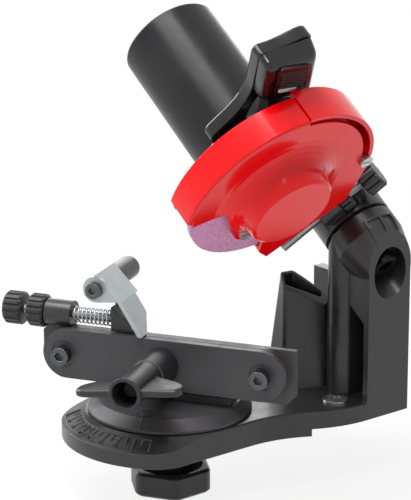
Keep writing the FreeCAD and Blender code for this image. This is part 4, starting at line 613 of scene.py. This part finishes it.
@dataclass
class BenchBase(SubAssembly):
    """Base moulding with its hinge hardware and its angle scale. Sizes are in millimetres."""

    number_radius: float = 57.3
    number_size: float = 3.2
    number_rise: float = 0.35
    number_step: int = 10
    number_last: int = 30
    slope_start: float = 48.0
    slope_fall: float = 0.437
    band_depth: float = 0.8
    middle: float = 270.0
    digit_steps: int = 3

    def digits(self, words: str) -> Shape:
        """Raised digits, flat at the origin.

        Args:
            words: The number.

        Returns:
            Points, in metres, and faces.
        """
        curve = bpy.data.curves.new("digits", "FONT")
        curve.body = words
        curve.size = self.number_size * MM
        curve.extrude = self.number_rise * MM
        curve.align_x = "CENTER"
        curve.align_y = "CENTER"
        curve.resolution_u = self.digit_steps
        holder = bpy.data.objects.new("digits", curve)
        mesh = bpy.data.meshes.new_from_object(holder)
        points = [vertex.co.copy() for vertex in mesh.vertices]
        faces = [tuple(face.vertices) for face in mesh.polygons]
        bpy.data.meshes.remove(mesh)
        bpy.data.objects.remove(holder)
        bpy.data.curves.remove(curve)
        return points, faces

    def numbers(self) -> None:
        """Degrees along the scale, beyond its longer lines."""
        centre, axis = self.joint("vise_swivel")
        shapes = []
        for angle in range(-self.number_last, self.number_last + 1, self.number_step):
            turn = math.radians(self.middle + angle)
            outward = Vector((math.cos(turn), math.sin(turn), 0.0))
            right = axis.cross(outward)
            up = (axis * self.slope_fall - outward).normalized()
            fall = self.slope_fall * (self.number_radius - self.slope_start) + self.band_depth
            place = centre + (outward * self.number_radius - axis * fall) * MM
            corners, sides = self.digits(str(abs(angle)))
            laid = [place + right * co.x + up * co.y + right.cross(up) * co.z for co in corners]
            shapes.append((laid, sides))
        self.add_piece("scale_numbers", joined(shapes), "base", BLACK_NYLON)

    def build(self) -> None:
        """Dress the base."""
        self.finishes = {"base_casting": BLACK_NYLON, "bench_eyelets": ZINC_PLATE, "hinge_bolt": BLACK_OXIDE,
                         "hinge_washer": ZINC_PLATE, "hinge_nut": ZINC_PLATE, "hinge_spring": COPPER,
                         "swivel_washer": ZINC_PLATE, "swivel_knob": BLACK_KNOB}
        self.dress()
        self.numbers()


@dataclass
class SwingHead(SubAssembly):
    """Motor, guard, wheel and handle. Sizes are in millimetres, in the wheel's plane from its centre."""

    forward: tuple[float, float, float] = (0.0, -1.0, 0.0)
    handle_back: float = -30.6
    handle_lean: float = 0.36397
    handle_width: float = 34.0
    handle_low: float = 47.5
    handle_high: float = 76.5
    handle_crest: float = 86.6
    seam: float = 47.2
    front_depth: float = 9.0
    rear_depth: float = 8.4
    front_round: float = 4.0
    rear_round: float = 2.2
    front_fall: float = 6.0
    switch_low: float = 53.0
    switch_high: float = 75.0
    switch_half: float = 10.5
    seam_gap: float = 0.05
    seam_ease: float = 0.4
    corner: float = 4.0
    front_step: float = 1.0
    window_corner: float = 3.2
    window_rows: tuple[tuple[float, float], ...] = ((0.0, 0.3), (2.5, 0.3), (2.52, 1.8), (8.0, 1.8))
    leg_root: float = 13.5
    leg: tuple[tuple[float, float], ...] = (
        (15.5, 38.0), (15.0, 28.0), (12.5, 24.4), (26.5, 7.5), (33.0, 14.0), (28.6, 22.8), (24.0, 31.0),
        (21.9, 39.5), (22.2, 49.5))
    crest_dip: tuple[float, float] = (20.5, 78.6)
    crest_flat: float = 5.0
    crest_fall: float = 0.6
    mark_up: float = 5.4
    mark_aside: float = 2.2
    mark_reach: float = 6.0
    mark_half: float = 1.3
    mark_lean: float = 0.8
    mark_proud: float = 1.4
    mark_corner: float = 1.0
    mark_rows: tuple[tuple[float, float], ...] = ((0.1, 0.0), (-0.45, 0.0), (-0.55, 0.2))
    ARC: ClassVar[tuple[int, ...]] = (15, 30, 45, 60, 75, 90)

    def at(self, place: Vector, depth: float) -> Vector:
        """A point of the head.

        Args:
            place: Forward and upward distances from the wheel's axis.
            depth: Distance behind the wheel's cover.

        Returns:
            The point in the object's frame, in metres.
        """
        hub, along = self.joint("wheel_spin")
        forward = Vector(self.forward)
        upward = forward.cross(along)
        return hub + (forward * place.x + upward * place.y - along * depth) * MM

    def handle_side(self, height: float) -> float:
        """Rear side of the leaning handle at a height."""
        return self.handle_back + self.handle_lean * height

    def eased(self, corners: Callable[[float], list[tuple[float, float]]], seam: float, outer: float,
              ease: float) -> list[list[Vector]]:
        """Outlines of a moulded half from its seam to its rounded outer edge.

        Args:
            corners: The half's corners at a share of its depth.
            seam: Depth of its seam.
            outer: Depth of its outer face.
            ease: Radius of the outer edge.

        Returns:
            The outlines, seam first.
        """
        way = 1 if outer > seam else -1
        rows = [(seam, self.seam_ease), (seam + self.seam_ease * way, 0.0), (outer - ease * way, 0.0)]
        for degrees in self.ARC:
            turn = math.radians(degrees)
            rows.append((outer - ease * way * (1 - math.sin(turn)), ease * (1 - math.cos(turn))))
        sections = []
        for depth, inset in rows:
            flat = outline(corners((depth - seam) / (outer - seam)), self.corner, inset)
            sections.append([self.at(point, depth) for point in flat])
        return sections

    def handle(self) -> None:
        """The handle's two halves: the front round its switch, the rear with its crest and its leg."""
        side, wide = self.handle_side, self.handle_width
        low, high, crest = self.handle_low, self.handle_high, self.handle_crest

        def front(share: float) -> list[tuple[float, float]]:
            """Corners of the front half, whose top falls towards the switch."""
            top = crest - self.front_step - self.front_fall * share
            return [(side(low), low), (side(low) + wide, low), (side(high) + wide, high), (side(top), top)]

        skin = self.eased(front, self.seam - self.seam_gap, self.seam - self.front_depth, self.front_round)
        for depth, grow in self.window_rows:
            rows = (self.switch_low - grow, self.switch_high + grow)
            middles = [side(row) + wide / 2 for row in rows]
            half = self.switch_half + grow
            window = [(middles[0] - half, rows[0]), (middles[0] + half, rows[0]),
                      (middles[1] + half, rows[1]), (middles[1] - half, rows[1])]
            skin.append([self.at(point, self.seam - self.front_depth + depth)
                         for point in outline(window, self.window_corner)])
        made = self.add_piece("handle_front_half", stack(skin), "head", BLACK_ABS, ("handle_front",))
        rear = [(side(low), low), (self.leg_root, low), *self.leg, (side(high) + wide, high), self.crest_dip,
                (side(crest) + self.crest_flat, crest - self.crest_fall), (side(crest), crest)]
        skin = self.eased(lambda share: rear, self.seam + self.seam_gap, self.seam + self.rear_depth,
                          self.rear_round)
        made = self.add_piece("handle_rear_half", stack(skin), "head", BLACK_ABS, ("handle_rear",))

    def switch_mark(self) -> None:
        """A raised white bar under the switch's ribs, whose white is a painted highlight."""
        middle = self.switch_low + self.mark_up
        centre = self.handle_side(middle) + self.handle_width / 2 + self.mark_aside
        face = self.seam - self.front_depth - self.mark_proud
        reach, tall, lean = self.mark_reach, self.mark_half, self.mark_lean
        bar = [(centre - reach, middle - tall), (centre + reach, middle - tall),
               (centre + reach + lean, middle + tall), (centre - reach + lean, middle + tall)]
        skin = [[self.at(point, face + depth) for point in outline(bar, self.mark_corner, inset)]
                for depth, inset in self.mark_rows]
        self.add_piece("switch_mark", stack(skin), "switch", PRINT)

    def build(self) -> None:
        """Dress the head."""
        self.finishes = {"head_arm": BLACK_NYLON, "motor_tube": BLACK_PAINT, "motor_end_cap": BLACK_NYLON,
                         "wheel_cover": RED_ABS, "wheel_housing": RED_ABS, "grinding_wheel": GRIT,
                         "handle_front": BLACK_ABS, "handle_rear": BLACK_ABS, "switch_paddle": BLACK_ABS,
                         "depth_knob": BLACK_KNOB, "depth_lock_nut": BLACK_KNOB,
                         "hinge_bush": SINTERED_BRONZE, "field_magnets": FERRITE, "commutator": COPPER,
                         "armature_windings": COPPER, "brush_holder": PHENOLIC, "carbon_brushes": FERRITE,
                         "cooling_fan": BLACK_NYLON, "switch_body": PHENOLIC}
        for name in ("cover_screws", "guard_screws", "handle_screws", "depth_rod"):
            self.finishes[name] = ZINC_PLATE
        for name in ("motor_shaft", "armature_core", "bearing_inner_rings", "bearing_outer_rings",
                     "bearing_balls", "wheel_rear_flange", "wheel_front_flange", "wheel_nut"):
            self.finishes[name] = TURNED_STEEL
        self.dress()
        self.handle()
        self.switch_mark()
        self.threaded("depth_rod_thread", "depth_rod", "depth_turn", "depth_screw", 1.0)
        self.fluted("depth_knob_fluted", "depth_knob", "depth_turn", "depth_grip", 12, 2.0)
        self.fluted("depth_lock_nut_fluted", "depth_lock_nut", "depth_lock_turn", "depth_lock", 12, 1.6)


@dataclass
class RailVise(SubAssembly):
    """Turntable, rails and the wing nut. Sizes are in millimetres."""

    table_top: float = 17.4
    table_radius: float = 40.2
    table_skirt: tuple[float, float] = (46.2, 11.9)
    mark_length: float = 11.0
    mark_half: float = 6.4
    mark_line: float = 1.1
    mark_rise: float = 0.5
    mark_sink: float = 0.2
    mark_corner: float = 0.8
    line_sink: float = 0.3
    line_rise: float = 0.35
    barrel_points: int = 48
    barrel: tuple[tuple[float, float], ...] = (
        (0.0, 9.9), (0.0, 10.3), (20.0, 9.5), (20.6, 8.9), (46.6, 8.1), (49.6, 8.5), (51.2, 9.3), (52.2, 9.5),
        (52.8, 9.3), (53.1, 8.8), (53.1, 7.5), (52.5, 7.1), (35.1, 7.0))
    tongue: tuple[tuple[float, float], ...] = (
        (7.6, 22.0), (9.0, 25.5), (31.0, 39.5), (31.0, 52.6), (9.0, 51.6), (7.6, 51.6))
    tongue_thick: float = 4.6
    tongue_round: float = 1.9
    tongue_corner: float = 9.0
    wing_lean: float = 6.8
    # Steps round half of a tongue's edge and their angle, in degrees
    EDGE_STEPS: ClassVar[int] = 6
    EDGE_ANGLE: ClassVar[int] = 15

    def wing_nut(self) -> None:
        """The clamp nut as one moulding: a barrel that flares at both ends, with a tongue on each side."""
        start, back = self.joint("wing_turn")
        forward = -back
        low, _, _ = self.extent("wing_nut", start, forward)
        root = start + forward * low
        rings = [(place * MM, [radius * MM] * self.barrel_points) for place, radius in self.barrel]
        shapes = [stack(self.turned(root, forward, rings))]
        lean = math.radians(self.wing_lean)
        level = forward.cross(Vector((0.0, 0.0, -1.0)))
        across = level * math.cos(lean) + Vector((0.0, 0.0, math.sin(lean)))
        above = across.cross(back)
        rows = []
        for k in range(-self.EDGE_STEPS, self.EDGE_STEPS + 1):
            turn = math.radians(self.EDGE_ANGLE * k)
            reach = self.tongue_thick / 2 - self.tongue_round
            rows.append((math.copysign(reach, k) + self.tongue_round * math.sin(turn),
                         self.tongue_round * (1 - math.cos(turn))))
        for side in (1, -1):
            skin = [[root + (across * side * point.x + forward * point.y + above * height) * MM
                     for point in outline(list(self.tongue), self.tongue_corner, inset)]
                    for height, inset in rows]
            shapes.append(stack(skin))
        made = self.add_piece("wing_nut_moulded", joined(shapes), "wing", BLACK_KNOB, ("wing_nut",))

    def pointer(self) -> None:
        """A raised triangle round the turntable's pointer, and a line from its tip down the skirt."""
        centre, up = self.joint("vise_swivel")
        _, back = self.joint("wing_turn")
        right = back.cross(up)
        tip, tail = self.table_radius, self.table_radius - self.mark_length

        def at(across: float, ahead: float, height: float) -> Vector:
            """A point of the turntable."""
            place = centre + (right * across - back * ahead) * MM
            return Vector((place.x, place.y, height * MM))

        corners = [(0.0, tip), (self.mark_half, tail), (-self.mark_half, tail)]
        top = self.table_top + self.mark_rise
        low = self.table_top - self.mark_sink
        rows = ((0.0, low), (0.0, top), (self.mark_line, top), (self.mark_line, low))
        skin = [[at(point.x, point.y, height) for point in outline(corners[::-1], self.mark_corner, inset)]
                for inset, height in rows]
        half = self.mark_line / 2
        line = [[at(-half, ahead, height - self.line_sink), at(half, ahead, height - self.line_sink),
                 at(half, ahead, height + self.line_rise), at(-half, ahead, height + self.line_rise)]
                for ahead, height in ((tip, self.table_top), self.table_skirt)]
        self.add_piece("turntable_mark", joined([stack(skin, False), stack(line)]), "vise", SATIN_NYLON)

    def build(self) -> None:
        """Dress the vise."""
        self.finishes = {"turntable": SATIN_NYLON, "swivel_bolt": BLACK_OXIDE, "rear_rail": PHOSPHATE,
                         "front_rail": PHOSPHATE, "jaw_guide_screws": BLUED_STEEL, "clamp_bolt": BLACK_OXIDE,
                         "wing_nut": BLACK_KNOB}
        self.dress()
        self.wing_nut()
        self.pointer()


@dataclass
class ChainStop(SubAssembly):
    """Adjustable stop and its pawl. Sizes are in millimetres."""

    spring_wire: float = 0.9
    spring_turns: int = 9
    points_a_turn: int = 24
    wire_points: int = 10

    def spring(self) -> None:
        """The stop's spring: a coil between the fixed boss and the sliding carriage, fixed to no body."""
        start, along = self.joint("stop_turn")
        if along.dot(Vector(self.row("stop_travel")["axis"])) < 0:
            along = -along
        low, high, reach = self.extent("stop_spring", start, along)
        thick = self.spring_wire * MM / 2
        side = along.orthogonal().normalized()
        across = along.cross(side)
        steps = self.spring_turns * self.points_a_turn
        rise = (high - low - 2 * thick) / steps
        wire = [2 * math.pi * i / self.wire_points for i in range(self.wire_points)]
        skin = []
        for k in range(steps + 1):
            turn = 2 * math.pi * k / self.points_a_turn
            outward = side * math.cos(turn) + across * math.sin(turn)
            middle = start + along * (low + thick + rise * k) + outward * (reach - thick)
            skin.append([middle + (outward * math.cos(a) + along * math.sin(a)) * thick for a in wire])
        made = self.add_piece("stop_spring_coil", stack(skin), "", ZINC_PLATE, ("stop_spring",))
        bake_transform(made)

    def build(self) -> None:
        """Dress the stop."""
        self.finishes = {"stop_block": BLACK_NYLON, "stop_carriage": BLACK_NYLON,
                         "stop_adjuster_knob": BLACK_KNOB, "stop_lock_nut": BLACK_KNOB,
                         "stop_rod": ZINC_PLATE, "stop_spring": ZINC_PLATE, "stop_pawl": STRIP_STEEL,
                         "pawl_screw": BLUED_STEEL}
        self.dress()
        self.threaded("stop_rod_thread", "stop_rod", "stop_turn", "stop_adjuster", 0.8)
        self.spring()


@dataclass
class Studio:
    """White floor, soft lamps and the photograph's camera. Lengths are in metres."""

    floor_z: float = -0.0385
    floor_reach: float = 6.0
    # Distances from the middle where the floor begins and ends fading to white, and its least whiteness
    fade: tuple[float, float] = (0.16, 0.5)
    whiteness: float = 0.86
    ambient: float = 0.27
    aim: tuple[float, float, float] = (0.03, -0.04, 0.1)
    sensor: float = 36.0
    nearest: float = 0.05
    eye: tuple[float, float, float] = (0.93101, -0.81973, 0.44146)
    azimuth: float = 50.89
    elevation: float = 15.81
    roll: float = -0.11
    lens: float = 161.41
    lamps: dict[Light, tuple] = field(default_factory=lambda: {
        Light.KEY: ((-1.0, -0.35, 0.55), 0.6, 7.5),
        Light.FILL: ((0.45, -0.45, 1.1), 0.25, 4.0),
        Light.TOP: ((-0.2, -0.4, 1.15), 0.7, 11.0),
        Light.RIM: ((-0.9, 0.75, 0.45), 0.7, 3.0)})

    def build(self) -> None:
        """Make the floor, the lamps, the world and the camera."""
        self.floor()
        for light, (place, size, power) in self.lamps.items():
            self.lamp(light, place, size, power)
        self.world()
        self.camera()

    def floor(self) -> None:
        """A pale floor that the camera sees as white, with the object's shadow left in."""
        mesh = bpy.data.meshes.new("floor")
        reach, level = self.floor_reach, self.floor_z
        mesh.from_pydata([(-reach, -reach, level), (reach, -reach, level), (reach, reach, level),
                          (-reach, reach, level)], [], [(0, 1, 2, 3)])
        ground = bpy.data.objects.new("floor", mesh)
        bpy.context.scene.collection.objects.link(ground)
        paint = bpy.data.materials.new("pale_floor")
        paint.use_nodes = True
        tree = paint.node_tree
        tree.nodes.clear()
        matte = add(tree, "ShaderNodeBsdfDiffuse", {"Color": linear("f2f2f2")})
        glow = add(tree, "ShaderNodeEmission", {"Color": linear("ffffff"), "Strength": 1.0})
        rays = add(tree, "ShaderNodeLightPath")
        seen = add(tree, "ShaderNodeMath", {"operation": "MAXIMUM"}, {0: rays.outputs["Is Camera Ray"],
                                                                     1: rays.outputs["Is Glossy Ray"]})
        where = add(tree, "ShaderNodeTexCoord")
        away = add(tree, "ShaderNodeVectorMath", {"operation": "LENGTH"}, {0: where.outputs["Object"]})
        clear = add(tree, "ShaderNodeMapRange", {"From Min": self.fade[0], "From Max": self.fade[1],
                                                 "To Min": self.whiteness, "To Max": 1.0},
                    {"Value": away.outputs["Value"]})
        share = add(tree, "ShaderNodeMath", {"operation": "MULTIPLY"}, {0: seen.outputs["Value"],
                                                                       1: clear.outputs["Result"]})
        mixed = add(tree, "ShaderNodeMixShader", links={0: share.outputs["Value"], 1: matte.outputs["BSDF"],
                                                        2: glow.outputs["Emission"]})
        add(tree, "ShaderNodeOutputMaterial", links={"Surface": mixed.outputs["Shader"]})
        mesh.materials.append(paint)

    def lamp(self, light: Light, place: tuple[float, float, float], size: float, power: float) -> None:
        """One square soft lamp that points at the object.

        Args:
            light: Which lamp it is.
            place: Where it stands.
            size: Side of its square.
            power: Its power in watts.
        """
        data = bpy.data.lights.new(light.value, "AREA")
        data.size = size
        data.energy = power
        lamp = bpy.data.objects.new(light.value, data)
        lamp.location = place
        aim = Vector(self.aim) - Vector(place)
        lamp.rotation_euler = aim.to_track_quat("-Z", "Y").to_euler()
        bpy.context.scene.collection.objects.link(lamp)

    def world(self) -> None:
        """White to the camera and in reflections, and a soft grey light on the object."""
        world = bpy.data.worlds.new("studio")
        bpy.context.scene.world = world
        world.use_nodes = True
        tree = world.node_tree
        tree.nodes.clear()
        rays = add(tree, "ShaderNodeLightPath")
        mirrored = add(tree, "ShaderNodeMath", {"operation": "MAXIMUM"},
                       {0: rays.outputs["Is Glossy Ray"], 1: rays.outputs["Is Transmission Ray"]})
        seen = add(tree, "ShaderNodeMath", {"operation": "MAXIMUM"},
                   {0: rays.outputs["Is Camera Ray"], 1: mirrored.outputs["Value"]})
        strength = add(tree, "ShaderNodeMapRange", {"To Min": self.ambient, "To Max": 1.0},
                       {"Value": seen.outputs["Value"]})
        sky = add(tree, "ShaderNodeBackground", {"Color": linear("ffffff")},
                  {"Strength": strength.outputs["Result"]})
        add(tree, "ShaderNodeOutputWorld", links={"Surface": sky.outputs["Background"]})

    def camera(self) -> None:
        """The camera fitted to the photograph."""
        a, e, r = [math.radians(x) for x in (self.azimuth, self.elevation, self.roll)]
        back = Vector((math.sin(a) * math.cos(e), -math.cos(a) * math.cos(e), math.sin(e)))
        right = Vector((math.cos(a), math.sin(a), 0))
        up = back.cross(right)
        right, up = right * math.cos(r) + up * math.sin(r), up * math.cos(r) - right * math.sin(r)
        data = bpy.data.cameras.new("camera")
        data.lens = self.lens
        data.sensor_width = self.sensor
        data.clip_start = self.nearest
        camera = bpy.data.objects.new("camera", data)
        camera.matrix_world = Matrix((right, up, back)).transposed().to_4x4()
        camera.location = self.eye
        bpy.context.scene.collection.objects.link(camera)
        bpy.context.scene.camera = camera


def main() -> None:
    """Load the solids, dress each sub-assembly and set the stage."""
    logging.basicConfig(level=logging.INFO)
    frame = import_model()
    bpy.context.scene.view_settings.view_transform = "Standard"
    for kind in (BenchBase, SwingHead, RailVise, ChainStop):
        kind(frame).build()
    Studio().build()


if __name__ == "__main__":
    main()
